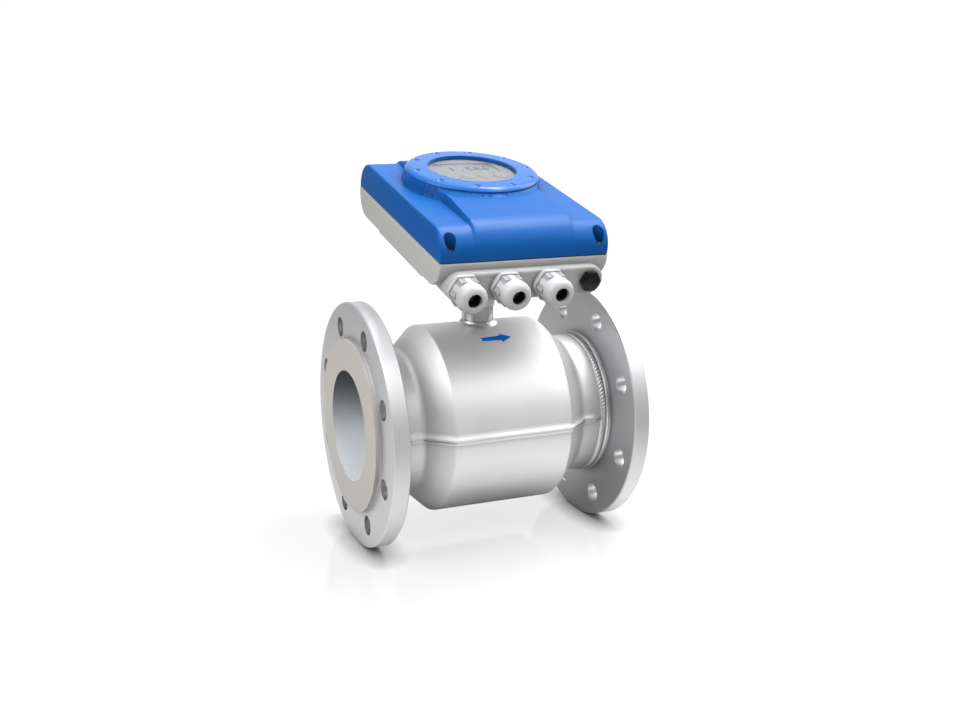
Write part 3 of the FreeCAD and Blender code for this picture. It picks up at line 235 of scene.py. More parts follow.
reach = distance_from((0, 0, 0))
camera_rays, mirrors = rays(tree)
# Painted light and shade for mirrors: a pool of glow on the inlet's side, dark right under the
# object.
pool = math_node(tree, "MULTIPLY", fade(tree, reach, SHADE_START, SHADE_END, 0, 1),
                 fade(tree, distance_from(POOL_CENTRE), POOL_START, POOL_END, POOL_LEVEL, 0))
seen = math_node(tree, "ADD", camera_rays, math_node(tree, "MULTIPLY", mirrors, pool))
# Painted contact shadows: the glow fades where something stands close to the floor.
contact_shadow = node(tree, "ShaderNodeAmbientOcclusion", samples=8)
link(tree, CONTACT_REACH, contact_shadow.inputs["Distance"])
seen = math_node(tree, "MULTIPLY", seen, math_node(
    tree, "POWER", contact_shadow.outputs["AO"], CONTACT_POWER))
glow = node(tree, "ShaderNodeEmission")
link(tree, math_node(tree, "MULTIPLY", seen, fade(
    tree, reach, GLOW_START, GLOW_END, NEAR_GLOW, FAR_GLOW)), glow.inputs["Strength"])
total = node(tree, "ShaderNodeAddShader")
link(tree, mixed.outputs[0], total.inputs[0])
link(tree, glow.outputs[0], total.inputs[1])
link(tree, total.outputs[0], node(tree, "ShaderNodeOutputMaterial").inputs["Surface"])
floor.data.materials.append(white)
print("floor height:", round(floor_height, 4), "m")

# %% [markdown]
# Every real surface here has a grain: blasted steel, painted castings and moulded nylon differ
# in its size and depth. One node group makes them all. Fine noise becomes a bump, and slow noise
# shifts the tint and the roughness a little, so that no surface is one flat colour.

# %% Grain group


def new_group(name, inputs, outputs):
    """An empty node group with float or colour sockets, and its two end nodes."""
    group = bpy.data.node_groups.new(name, "ShaderNodeTree")
    for socket, kind, value in inputs:
        made = group.interface.new_socket(socket, in_out="INPUT", socket_type=kind)
        made.default_value = value
    for socket, kind in outputs:
        group.interface.new_socket(socket, in_out="OUTPUT", socket_type=kind)
    return group, node(group, "NodeGroupInput"), node(group, "NodeGroupOutput")


FLOAT, COLOUR, VECTOR = "NodeSocketFloat", "NodeSocketColor", "NodeSocketVector"
BUMP_HEIGHT, SLOW_SCALE, ROUGH_SWING = 0.0002, 28, 0.08


def surface_group(name, spacing):
    """A group that turns a colour and a roughness into a surface with a fine pattern."""
    return new_group(name, [
        ("Color", COLOUR, (0.5, 0.5, 0.5, 1)), (spacing, FLOAT, 1.0), ("Depth", FLOAT, 0.1),
        ("Roughness", FLOAT, 0.4), ("Variation", FLOAT, 0.1)],
        [("Color", COLOUR), ("Roughness", FLOAT), ("Normal", VECTOR)])


def fine_noise(group, place, per_mm, detail):
    """Noise with so many spots to the millimetre."""
    noise = node(group, "ShaderNodeTexNoise")
    link(group, detail, noise.inputs["Detail"])
    link(group, place, noise.inputs["Vector"])
    link(group, math_node(group, "MULTIPLY", per_mm, 1 / MM), noise.inputs["Scale"])
    return noise.outputs["Fac"]


def swing_of(group, noise, amount):
    """Noise moved to swing evenly about zero by an amount."""
    return math_node(group, "MULTIPLY", math_node(group, "SUBTRACT", noise, 0.5), amount)


def surface_out(group, given, result, pattern, rough, swing):
    """The group's outputs: the swing shifts tint and roughness, the pattern is a bump."""
    tint = node(group, "ShaderNodeHueSaturation")
    link(group, given.outputs["Color"], tint.inputs["Color"])
    link(group, math_node(group, "ADD", swing, 1.0), tint.inputs["Value"])
    bump = node(group, "ShaderNodeBump")
    link(group, BUMP_HEIGHT, bump.inputs["Distance"])
    link(group, given.outputs["Depth"], bump.inputs["Strength"])
    link(group, pattern, bump.inputs["Height"])
    link(group, tint.outputs["Color"], result.inputs["Color"])
    link(group, math_node(group, "ADD", rough, swing, clamp=True), result.inputs["Roughness"])
    link(group, bump.outputs["Normal"], result.inputs["Normal"])
    print(group.name, "nodes:", len(group.nodes))


grain, given, result = surface_group("surface_grain", "Grain per mm")
place = node(grain, "ShaderNodeTexCoord").outputs["Object"]
fine = fine_noise(grain, place, given.outputs["Grain per mm"], 3)
slow = node(grain, "ShaderNodeTexNoise")
link(grain, SLOW_SCALE, slow.inputs["Scale"])
link(grain, 4, slow.inputs["Detail"])
link(grain, place, slow.inputs["Vector"])
surface_out(grain, given, result, fine,
            math_node(grain, "ADD", given.outputs["Roughness"], swing_of(
                grain, fine, ROUGH_SWING)),
            swing_of(grain, slow.outputs["Fac"], given.outputs["Variation"]))

# %% [markdown]
# Faces that were turned on a lathe keep fine grooves in rings around the pipe axis. A second
# group makes them from the distance to that axis, so they run true on every flange.

# %% Turned group
SPIRAL_LEAN = 0.7


def from_pipe_axis(group):
    """The three coordinates on a piece, and the distance from the pipe axis."""
    axes = node(group, "ShaderNodeSeparateXYZ")
    link(group, node(group, "ShaderNodeTexCoord").outputs["Object"], axes.inputs[0])
    squares = [math_node(group, "MULTIPLY", axes.outputs[axis], axes.outputs[axis])
               for axis in ("Y", "Z")]
    return axes.outputs, math_node(group, "SQRT", math_node(group, "ADD", *squares))


turned, given, result = surface_group("turned_rings", "Grooves per mm")
axes, radius = from_pipe_axis(turned)
across = node(turned, "ShaderNodeCombineXYZ")
link(turned, math_node(turned, "ADD", radius, math_node(
    turned, "MULTIPLY", axes["X"], SPIRAL_LEAN)), across.inputs["X"])
grooves = fine_noise(turned, across.outputs[0], given.outputs["Grooves per mm"], 2)
surface_out(turned, given, result, grooves, given.outputs["Roughness"],
            swing_of(turned, grooves, given.outputs["Variation"]))

# %% [markdown]
# The bolt holes are drilled, so their walls are smoother and brighter than the turned faces. A
# third group finds them: it folds the flange into eight equal sectors, and gives 1 within a
# hole's radius of the middle of each, and 0 elsewhere.

# %% Bolt hole group
HOLE_COUNT, HOLE_CIRCLE, HOLE_REACH = 8, 90.0, 9.25
bolt_holes, given, result = new_group("bolt_holes", [], [("Mask", FLOAT)])
axes, radius = from_pipe_axis(bolt_holes)
turn = math_node(bolt_holes, "ARCTAN2", axes["Z"], axes["Y"])
sector = math_node(bolt_holes, "FRACT", math_node(bolt_holes, "ADD", math_node(
    bolt_holes, "MULTIPLY", turn, HOLE_COUNT / math.tau), HOLE_COUNT))
turn = math_node(bolt_holes, "MULTIPLY", math_node(bolt_holes, "SUBTRACT", sector, 0.5),
                 math.tau / HOLE_COUNT)
away = [math_node(bolt_holes, "MULTIPLY", radius, math_node(bolt_holes, "SINE", turn)),
        math_node(bolt_holes, "SUBTRACT", math_node(
            bolt_holes, "MULTIPLY", radius, math_node(bolt_holes, "COSINE", turn)),
            HOLE_CIRCLE * MM)]
squares = [math_node(bolt_holes, "MULTIPLY", value, value) for value in away]
link(bolt_holes, math_node(bolt_holes, "LESS_THAN", math_node(bolt_holes, "ADD", *squares),
                           (HOLE_REACH * MM) ** 2), result.inputs["Mask"])
print("bolt holes:", HOLE_COUNT, "on a circle of", 2 * HOLE_CIRCLE, "mm")

# %% [markdown]
# A finish is one Principled shader fed by one of the groups. The table names each finish of the
# instrument: its colour, how much of it is bare metal, the grain and its roughness. Narrow
# places see less light, so a finish may also get painted shade, darker where other faces are
# close.

# %% Finishes
# The bore gets painted shade along its upper side and painted light along its lower side,
# blended between these two heights in metres.
BORE_FADE, COAT_ROUGHNESS = (0.042, -0.032), 0.2


def inside(tree, axes, limit):
    """1 where the distance along or from the pipe axis is less than a limit, else 0."""
    place = node(tree, "ShaderNodeVectorMath", operation="MULTIPLY")
    link(tree, node(tree, "ShaderNodeTexCoord").outputs["Object"], place.inputs[0])
    link(tree, axes, place.inputs[1])
    distance = node(tree, "ShaderNodeVectorMath", operation="LENGTH")
    link(tree, place.outputs[0], distance.inputs[0])
    return math_node(tree, "LESS_THAN", distance.outputs["Value"], limit * MM)


def bore_shade(tree, top, bottom):
    """A colour that turns from one to another down the pipe's bore, as painted shade above and
    painted light below.
    """
    ramp = node(tree, "ShaderNodeValToRGB")
    ramp.color_ramp.elements[0].color = (*top, 1)
    ramp.color_ramp.elements[1].color = (*bottom, 1)
    place = node(tree, "ShaderNodeSeparateXYZ")
    link(tree, node(tree, "ShaderNodeTexCoord").outputs["Object"], place.inputs[0])
    link(tree, fade(tree, place.outputs["Z"], *BORE_FADE, 0, 1), ramp.inputs[0])
    return ramp.outputs[0]


def hollow_shade(tree, shade, strength, reach):
    """Paint shade into a colour: darken it, by a share, where other faces are closer than a
    reach in metres.
    """
    hollow = node(tree, "ShaderNodeAmbientOcclusion", samples=6)
    link(tree, reach, hollow.inputs["Distance"])
    link(tree, shade, hollow.inputs["Color"])
    return mix(tree, "RGBA", strength, shade, hollow.outputs["Color"])


def finish(name, colour, rough, metal, grain_size, depth, vary, group=grain, zone=None,
           painted_bore_light=None, painted_shade=None, coat=0.0, shine=0.5):
    """A material: colour, roughness, metal, spots per mm, their depth and the variation."""
    material = bpy.data.materials.new(name)
    material.use_nodes = True
    tree = material.node_tree
    shader = tree.nodes["Principled BSDF"]
    surface = node(tree, "ShaderNodeGroup", node_tree=group)
    for socket, value in zip(surface.inputs, ((*colour, 1), grain_size, depth, rough, vary)):
        link(tree, value, socket)
    if zone:
        axes, limit, second = zone
        within = bore_shade(tree, second, painted_bore_light) if painted_bore_light else (*second, 1)
        link(tree, mix(tree, "RGBA", inside(tree, axes, limit), (*colour, 1), within),
             surface.inputs["Color"])
    shade = surface.outputs["Color"]
    if painted_shade:
        shade = hollow_shade(tree, shade, *painted_shade)
    for value, socket in ((shade, "Base Color"), (surface.outputs["Roughness"], "Roughness"),
                          (surface.outputs["Normal"], "Normal"), (metal, "Metallic"),
                          (coat, "Coat Weight"), (COAT_ROUGHNESS, "Coat Roughness"),
                          (shine, "Specular IOR Level")):
        link(tree, value, shader.inputs[socket])
    return material


# The flange faces turned towards the shell get a darker colour: painted shade from the shell.
SHADED_FLANGE_BACK, LINER_BORE = ((1, 0, 0), 105.2), ((0, 1, 1), 49.7)
# The last pair in some of these finishes is painted shade in their hollows: how much darker, and
# within what reach in metres.
SHELL = finish("blasted_shell", (0.78, 0.78, 0.79), 0.56, 0.85, 1.4, 0.10, 0.07,
               painted_shade=(0.75, 0.040))
FLANGE = finish("turned_flange", (0.60, 0.60, 0.61), 0.55, 1.0, 0.9, 0.10, 0.10, group=turned,
                zone=(*SHADED_FLANGE_BACK, (0.54, 0.54, 0.55)), painted_shade=(0.30, 0.008))
WELD = finish("weld_metal", (0.74, 0.74, 0.75), 0.34, 1.0, 1.0, 0.15, 0.20,
              painted_shade=(0.95, 0.002))
STEM = finish("polished_tube", (0.72, 0.72, 0.73), 0.24, 1.0, 1.0, 0.06, 0.08,
              painted_shade=(0.60, 0.020))
CAST = finish("cast_alloy", (0.62, 0.62, 0.62), 0.45, 1.0, 1.1, 0.20, 0.12)
SCREW = finish("screw_steel", (0.60, 0.60, 0.61), 0.30, 1.0, 2.0, 0.05, 0.10)
# The liner's bore is painted dark along its top and light along its bottom: painted shade and
# painted light.
LINER = finish("liner_polymer", (0.56, 0.53, 0.50), 0.42, 0.0, 0.8, 0.05, 0.10, group=turned,
               zone=(*LINER_BORE, (0.05, 0.055, 0.065)), painted_bore_light=(0.94, 0.97, 1.0))
BLUE = finish("blue_coating", (0.0028, 0.108, 0.41), 0.36, 0.0, 1.6, 0.22, 0.06,
              painted_shade=(0.60, 0.015), shine=0.18)
RING_BLUE = finish("blue_ring", (0.0070, 0.126, 0.47), 0.24, 0.0, 2.0, 0.08, 0.05,
                   painted_shade=(0.85, 0.010), shine=0.35)
GREY = finish("grey_coating", (0.56, 0.56, 0.55), 0.45, 0.0, 1.6, 0.20, 0.05,
              painted_shade=(0.60, 0.010), shine=0.20)
NYLON = finish("light_nylon", (0.62, 0.62, 0.63), 0.36, 0.0, 1.2, 0.06, 0.05,
               painted_shade=(0.80, 0.008))
BLACK = finish("black_nylon", (0.004, 0.004, 0.0045), 0.32, 0.0, 1.2, 0.08, 0.20,
               shine=0.25)
RUBBER = finish("black_rubber", (0.020, 0.020, 0.021), 0.62, 0.0, 1.5, 0.15, 0.15)
PLATE = finish("display_front", (0.205, 0.209, 0.212), 0.50, 0.0, 2.5, 0.04, 0.04)
LCD = finish("lcd_face", (0.165, 0.193, 0.210), 0.22, 0.0, 2.5, 0.01, 0.05, coat=0.4)
KEYS = finish("key_caps", (0.215, 0.219, 0.222), 0.45, 0.0, 2.5, 0.04, 0.04)
PRINT = finish("dark_print", (0.085, 0.088, 0.092), 0.55, 0.0, 2.5, 0.02, 0.05)
INK = finish("blue_ink", (0.001, 0.145, 0.68), 0.50, 0.0, 2.0, 0.03, 0.05, shine=0.05)
BOARD = finish("circuit_board", (0.03, 0.16, 0.07), 0.45, 0.0, 1.0, 0.10, 0.20)
TERMINAL = finish("terminal_plastic", (0.07, 0.25, 0.11), 0.50, 0.0, 1.5, 0.05, 0.05)
IRON = finish("dark_iron", (0.10, 0.10, 0.11), 0.50, 1.0, 0.8, 0.25, 0.25)
COPPER = finish("copper_wire", (0.55, 0.25, 0.12), 0.35, 1.0, 0.6, 0.30, 0.20)
WHITE_PART = finish("white_insulator", (0.75, 0.75, 0.73), 0.40, 0.0, 1.5, 0.05, 0.05)

HOLE_WALL, HOLE_ROUGHNESS = (0.60, 0.60, 0.61, 1), 0.34
tree = FLANGE.node_tree
shader = tree.nodes["Principled BSDF"]
holes = node(tree, "ShaderNodeGroup", node_tree=bolt_holes)
for name, kind, wall in (("Base Color", "RGBA", HOLE_WALL),
                         ("Roughness", "FLOAT", HOLE_ROUGHNESS)):
    face = shader.inputs[name].links[0].from_socket
    link(tree, mix(tree, kind, holes.outputs["Mask"], face, wall), shader.inputs[name])

WORN_BY = {
    SHELL: ["housing_upper", "housing_lower", "measuring_tube"],
    STEM: ["neck_tube"],
    FLANGE: ["inlet_flange", "outlet_flange"],
    WELD: ["weld_inlet", "weld_outlet", "stem_weld"],
    CAST: ["neck_adapter"],
    SCREW: ["cover_screws", "adapter_screws", "board_screws", "electrode_front",
            "electrode_rear", "electrode_nut_front", "electrode_nut_rear"],
    LINER: ["liner"],
    BLUE: ["converter_cover"],
    RING_BLUE: ["window_ring"],
    GREY: ["converter_base"],
    NYLON: [f"gland_{kind}_{place}" for kind in ("body", "nut") for place in (1, 2, 3)],
    BLACK: ["blanking_plug"],
    RUBBER: ["cover_gasket", "plug_seal", "gland_seal_1", "gland_seal_2", "gland_seal_3"],
    PLATE: ["display_plate"],
    LCD: ["lcd_module"],
    KEYS: [f"display_key_{place}" for place in (1, 2, 3, 4)],
    BOARD: ["display_board", "main_board"],
    TERMINAL: ["terminal_block"],
    IRON: ["pole_upper", "pole_lower", "field_yoke", "transformer"],
    COPPER: ["coil_upper", "coil_lower"],
    WHITE_PART: ["electrode_bush_front", "electrode_bush_rear"],
}
for material, names in WORN_BY.items():
    for name in names:
        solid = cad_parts[name]
        if not solid.data.materials:
            solid.data.materials.append(material)
        for slot in solid.material_slots:
            slot.material = material
bare = set(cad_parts) - {name for names in WORN_BY.values() for name in names}
print("finishes:", len(WORN_BY), "solids without one:", sorted(bare))

# %% [markdown]
# Pieces are modelled as by hand, with the operators of edit mode. A few helpers select what an
# operator should act on, because each one acts on everything that is selected. When a piece is
# done, its place goes into its mesh, it rides on a body, and it may stand for a solid.

# %% Modelling helpers
MERGE = 1e-6


def start_edit(piece):
    bpy.ops.object.select_all(action="DESELECT")
    piece.select_set(True)
    bpy.context.view_layer.objects.active = piece
    bpy.ops.object.mode_set(mode="EDIT")
    bpy.ops.mesh.select_all(action="DESELECT")


def end_edit():
    bpy.ops.object.mode_set(mode="OBJECT")


def pick(kind, test):
    """In edit mode, select the vertices, edges or faces that pass a test, and no others."""
    modes = ("VERT", "EDGE", "FACE")
    bpy.ops.mesh.select_all(action="DESELECT")
    bpy.ops.mesh.select_mode(type=kind)
    mesh = bmesh.from_edit_mesh(bpy.context.object.data)
    items = (mesh.verts, mesh.edges, mesh.faces)[modes.index(kind)]
    mesh.normal_update()
    for item in items:
        item.select_set(bool(test(item)))
    mesh.select_flush_mode()
    bmesh.update_edit_mesh(bpy.context.object.data)


def draw(points, closed=False):
    """A line of edges through points in millimetres, drawn by extruding one vertex."""
    bpy.ops.object.select_all(action="DESELECT")
    bpy.ops.mesh.primitive_plane_add(size=MM)
    line = bpy.context.object
    bpy.ops.object.mode_set(mode="EDIT")
    bpy.ops.mesh.select_mode(type="VERT")
    bpy.ops.mesh.select_all(action="SELECT")
    bpy.ops.mesh.merge(type="CENTER")
    corners = [Vector(point) * MM for point in points]
    bpy.ops.transform.translate(value=corners[0])
    for before, after in zip(corners, corners[1:]):
        bpy.ops.mesh.extrude_vertices_move(TRANSFORM_OT_translate={"value": after - before})
    if closed:
        bpy.ops.mesh.select_all(action="SELECT")
        bpy.ops.mesh.edge_face_add()
    end_edit()
    return line


def lathe(points, axis, steps=64):
    """Spin a closed profile right round an axis through the origin into a solid skin."""
    piece = draw(points + points[:1])
    bpy.ops.object.mode_set(mode="EDIT")
    bpy.ops.mesh.select_all(action="SELECT")
    bpy.ops.mesh.remove_doubles(threshold=MERGE)
    bpy.ops.mesh.spin(steps=steps, angle=math.tau, axis=axis, center=(0, 0, 0))
    bpy.ops.mesh.select_all(action="SELECT")
    bpy.ops.mesh.remove_doubles(threshold=MERGE)
    bpy.ops.mesh.dissolve_degenerate(threshold=1e-7)
    bpy.ops.mesh.normals_make_consistent(inside=False)
    end_edit()
    return piece


def apply_all(piece):
    bpy.ops.object.select_all(action="DESELECT")
    piece.select_set(True)
    bpy.context.view_layer.objects.active = piece
    for modifier in list(piece.modifiers):
        bpy.ops.object.modifier_apply(modifier=modifier.name)


def soften(piece, width, angle):
    """Round the edges sharper than an angle with a Bevel modifier, and apply it."""
    bevel = piece.modifiers.new("soft_edges", "BEVEL")
    bevel.width = width * MM
    bevel.segments = 2
    bevel.limit_method = "ANGLE"
    bevel.angle_limit = math.radians(angle)
    apply_all(piece)


def settle(piece, name, material, body="meter", place=SENSOR, instead_of=(),
           smooth=35):
    """Put the place into the mesh, then dress the piece and let it ride on its body."""
    bpy.ops.object.select_all(action="DESELECT")
    piece.select_set(True)
    bpy.context.view_layer.objects.active = piece
    piece.matrix_world = place @ piece.matrix_world
    bpy.ops.object.transform_apply(location=True, rotation=True, scale=True)
    bpy.ops.object.shade_smooth_by_angle(angle=math.radians(smooth))
    piece.name = name
    piece.data.name = name
    piece.data.materials.clear()
    piece.data.materials.append(material)
    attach(piece, body)
    if instead_of:
        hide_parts(*instead_of)
    print(name, len(piece.data.polygons), "faces")
    return piece


# %% [markdown]
# The cover is one moulding. A level hump runs along it and swells round the display in soft
# S-curves, then fades out down the rounded front. Booleans with bevels would leave hard creases
# there, so its skin is a fine grid that is wrapped over the rounded block, and each point is
# lifted by the height of the hump above it. The blends then come out as smooth as the moulding.

# %% Cover skin
HALF_WIDTH, LENGTH, COVER_TOP = 76.5, 214.0, 25.5
FRONT_ROUND, BACK_ROUND, EDGE_ROUND = 22.0, 23.0, 2.0
TURRET_Y, TURRET_R, TURRET_TOP, BLEND_R = 128.0, 62.0, 34.5, 25.0
HUMP_HALF, HUMP_LOW, HUMP_HIGH, HUMP_ROUND = 46.0, 29.2, 32.6, 23.0
HUMP_FRONT, HUMP_BACK, RIDGE_FRONT, RIDGE_BACK = 4.0, 209.0, 66.0, 176.0
WALL_OUT, WALL_IN = 0.8, 1.5
FADE_HEIGHT, FADE_TURN, BACK_FADE = 3.1, math.radians(74), 1.1
TURRET_SKIRT, TURRET_WALL = 0.4, 1.3
ALONG_STEP, ACROSS_STEP = 1.1, 1.0


def ease(value):
    value = min(max(value, 0.0), 1.0)
    return value * value * value * (value * (6 * value - 15) + 10)


def hump_half_width(y):
    """Half width of the hump at y: straight, then a concave and a convex arc at the turret."""
    reach, bend = TURRET_R + BLEND_R, HUMP_HALF + BLEND_R
    along = abs(y - TURRET_Y)
    swing = math.sqrt(reach ** 2 - bend ** 2)
    if along < swing * TURRET_R / reach:
        return math.sqrt(TURRET_R ** 2 - along ** 2)
    if along < swing:
        return bend - math.sqrt(BLEND_R ** 2 - (swing - along) ** 2)
    return HUMP_HALF


def hump_height(y, turn):
    """Height of the hump over the block, where the block's surface has turned by an angle."""
    if turn:
        lowered = FADE_HEIGHT * max(1 - turn / FADE_TURN, 0) ** 1.6
        if y > LENGTH / 2:
            return lowered * BACK_FADE
        return lowered
    if y < RIDGE_FRONT:
        start, end = HUMP_FRONT + HUMP_ROUND, RIDGE_FRONT
        share = (y - start) / (end - start)
    else:
        start, end = HUMP_BACK - HUMP_ROUND, RIDGE_BACK
        share = (start - y) / (start - end)
    if share < 0:
        drop = abs(y - start)
        return HUMP_LOW - HUMP_ROUND + math.sqrt(HUMP_ROUND ** 2 - drop ** 2) - COVER_TOP
    return HUMP_LOW + (HUMP_HIGH - HUMP_LOW) * min(share, 1) - COVER_TOP


def side_line(step):
    """Stations along the block's side view: (y, z, direction of the outside, turn)."""
    stations = [(0.0, 0.0, (-1, 0), math.pi / 2)]
    turns = int(FRONT_ROUND * math.pi / 2 / step)
    for index in range(turns + 1):
        turn = math.pi / 2 * (1 - index / turns)
        stations.append((FRONT_ROUND * (1 - math.sin(turn)),
                         COVER_TOP - FRONT_ROUND * (1 - math.cos(turn)),
                         (-math.sin(turn), math.cos(turn)), turn))
    flat = LENGTH - FRONT_ROUND - BACK_ROUND
    count = int(flat / step)
    for index in range(1, count):
        stations.append((FRONT_ROUND + flat * index / count, COVER_TOP, (0, 1), 0.0))
    for index in range(turns + 1):
        turn = math.pi / 2 * index / turns
        stations.append((LENGTH - BACK_ROUND * (1 - math.sin(turn)),
                         COVER_TOP - BACK_ROUND * (1 - math.cos(turn)),
                         (math.sin(turn), math.cos(turn)), turn))
    stations.append((LENGTH, 0.0, (1, 0), math.pi / 2))
    return stations


def cross_line(step):
    """Stations across the block: (x, how far the surface has dropped at the long edges)."""
    bends = [math.pi / 2 * index / 5 for index in range(6)]
    left = [(-HALF_WIDTH + EDGE_ROUND * (1 - math.sin(bend)), EDGE_ROUND * (1 - math.cos(bend)))
            for bend in reversed(bends)]
    count = int((HALF_WIDTH - EDGE_ROUND) * 2 / step)
    flat = [(-HALF_WIDTH + EDGE_ROUND + (HALF_WIDTH - EDGE_ROUND) * 2 * index / count, 0.0)
            for index in range(1, count)]
    return left + flat + [(-x, drop) for x, drop in reversed(left)]


along, over = side_line(ALONG_STEP), cross_line(ACROSS_STEP)
bpy.ops.object.select_all(action="DESELECT")
bpy.ops.mesh.primitive_grid_add(x_subdivisions=len(over) - 1, y_subdivisions=len(along) - 1,
                                size=1)
cover = bpy.context.object
points = cover.data.vertices
for row, (y, z, (out_y, out_z), turn) in enumerate(along):
    half = hump_half_width(y)
    slope = hump_half_width(y + 0.5) - hump_half_width(y - 0.5)
    lean = math.sqrt(1 + min(abs(slope), 3) ** 2)
    height = max(hump_height(y, turn), 0.0)
    for column, (x, drop) in enumerate(over):
        in_hump = (half - abs(x)) / lean
        lift = height * ease((in_hump + WALL_OUT) / (WALL_OUT + WALL_IN))
        from_axis = math.hypot(x, y - TURRET_Y)
        rise = ease((TURRET_R + TURRET_SKIRT - from_axis) / TURRET_WALL)
        if turn == 0:
            lift += (TURRET_TOP - COVER_TOP - lift) * rise
        lift -= drop
        points[row * len(over) + column].co = Vector(
            (x, y + out_y * lift, z + out_z * lift)) * MM
start_edit(cover)
for side in (-1, 1):
    pick("VERT", lambda vert: vert.co.x * side > (HALF_WIDTH - 0.01) * MM)
    bpy.ops.mesh.edge_face_add()
pick("EDGE", lambda edge: edge.is_boundary)
bpy.ops.mesh.edge_face_add()
bpy.ops.mesh.select_all(action="SELECT")
bpy.ops.mesh.normals_make_consistent(inside=False)
end_edit()
print("cover skin:", len(along), "by", len(over), "points")

# %% [markdown]
# The skin is only the outside. The inside, the display opening and the four screw pockets are
# cut with Boolean modifiers, as a mould maker would set cores. The cutters are a box and round
# bars, which are set and taken away one by one.

# %% Cover cuts


def round_bar(x, y, low, high, radius, sides=64):
    bpy.ops.object.select_all(action="DESELECT")
    bpy.ops.mesh.primitive_cylinder_add(
        vertices=sides, radius=radius * MM, depth=(high - low) * MM,
        location=(x * MM, y * MM, (low + high) / 2 * MM))
    return bpy.context.object


def box_bar(low, high):
    bpy.ops.object.select_all(action="DESELECT")
    bpy.ops.mesh.primitive_cube_add(
        size=1, location=[(a + b) / 2 * MM for a, b in zip(low, high)],
        scale=[(b - a) * MM for a, b in zip(low, high)])
    return bpy.context.object


def carve(piece, cutter, operation="DIFFERENCE"):
    """Combine with one cutter by an exact Boolean, and remove the cutter."""
    boolean = piece.modifiers.new("core", "BOOLEAN")
    boolean.operation = operation
    boolean.solver = "EXACT"
    boolean.object = cutter
    apply_all(piece)
    bpy.data.objects.remove(cutter)


CORE_LOW, CORE_HIGH = (-73.5, 17, -2), (73.5, 197, 22.5)
TURRET_CORE_R, TURRET_CORE_TOP, OPENING_R = 59, 31.5, 46.1
POCKET_X, POCKET_FRONT, POCKET_BACK, POCKET_R, POCKET_FLOOR = 67.4, 5.7, 208.3, 5.2, 4.0
SCREW_HOLE_R, BELOW, ABOVE = 2.75, -2, 40
carve(cover, box_bar(CORE_LOW, CORE_HIGH))
carve(cover, round_bar(0, TURRET_Y, 1, TURRET_CORE_TOP, TURRET_CORE_R))
carve(cover, round_bar(0, TURRET_Y, COVER_TOP - 0.5, ABOVE, OPENING_R, 96))
for x in (-POCKET_X, POCKET_X):
    for y in (POCKET_FRONT, POCKET_BACK):
        carve(cover, round_bar(x, y, POCKET_FLOOR, ABOVE, POCKET_R, 40))
        carve(cover, round_bar(x, y, BELOW, POCKET_FLOOR + 1, SCREW_HOLE_R, 24))
settle(cover, "cover_skin", BLUE, place=HEAD,
       instead_of=["converter_cover"], smooth=40)

# %% [markdown]
# The grey base is a casting, and its edges are never sharp. Its solid has the right form, so a
# copy of it is merged, cleaned of flat triangles and rounded with a Bevel modifier. The plug
# and the cast neck piece get the same treatment.

# %% Rounded castings
FLAT_WITHIN, CASTING_ANGLE = 0.5, 28


def rounded_copy(name, width, material):
    """A copy of a solid with its small edges rounded, in the solid's place."""
    piece = bpy.data.objects.new(name + "_cast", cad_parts[name].data.copy())
    bpy.context.scene.collection.objects.link(piece)
    start_edit(piece)
    bpy.ops.mesh.select_all(action="SELECT")
    bpy.ops.mesh.remove_doubles(threshold=2 * MERGE)
    bpy.ops.mesh.dissolve_limited(angle_limit=math.radians(FLAT_WITHIN))
    end_edit()
    soften(piece, width, CASTING_ANGLE)
    settle(piece, name + "_cast", material, instead_of=[name])


rounded_copy("converter_base", 0.7, GREY)
rounded_copy("blanking_plug", 0.35, BLACK)
rounded_copy("neck_adapter", 0.5, CAST)

# %% [markdown]
# A cable gland has a hexagon that is screwed into the base, and a dome nut with its own smaller
# hexagon. Their corners are bevelled by a cone, so the bevels are arcs. The nut's flats have
# fine ribs near the corners for a wet hand. Both are modelled upright and copied three times.

# %% Cable glands
ENTRY_PITCH, ENTRY_DROP = 38.6, 20.5
GLAND_TURN = Matrix.Rotation(math.pi / 2, 4, "X")
RIB_MARGIN, RIB_DEPTH, RIB_PITCH, RIBS = 0.7, 0.45, 1.0, 4
BODY_FLATS, BODY_LOW, BODY_HIGH, BODY_BORE = 26, 6, 12, 10.0
NUT_FLATS, NUT_LOW, NUT_HIGH, NUT_BORE = 24, 12.3, 22.2, 10.9


def entry_place(index):
    """Place of a gland modelled upright on its axis, z outwards from the head's front."""
    x = (index - 1.5) * ENTRY_PITCH
    return HEAD @ Matrix.Translation((x * MM, 0, -ENTRY_DROP * MM)) @ GLAND_TURN


def hexagon_line(flats, ribs=0):
    """Corner points of a hexagon, with ribs beside each corner where they are asked for."""
    apothem = flats / 2
    side = flats / math.sqrt(3)
    points = []
    for facet in range(6):
        turn = math.radians(60 * facet + 30)
        out = Vector((math.cos(turn), math.sin(turn), 0))
        along = Vector((-math.sin(turn), math.cos(turn), 0))
        stations = [(-side / 2, 0.0)]
        for end in (-1, 1):
            zone = []
            for rib in range(ribs):
                start = side / 2 - RIB_MARGIN - rib * RIB_PITCH
                zone += [(start, 0.0), (start - RIB_PITCH * 0.2, RIB_DEPTH),
                         (start - RIB_PITCH * 0.5, RIB_DEPTH), (start - RIB_PITCH * 0.7, 0.0)]
            stations += sorted((end * place, depth) for place, depth in zone)
        points += [out * (apothem - depth) + along * place for place, depth in stations]
    return points


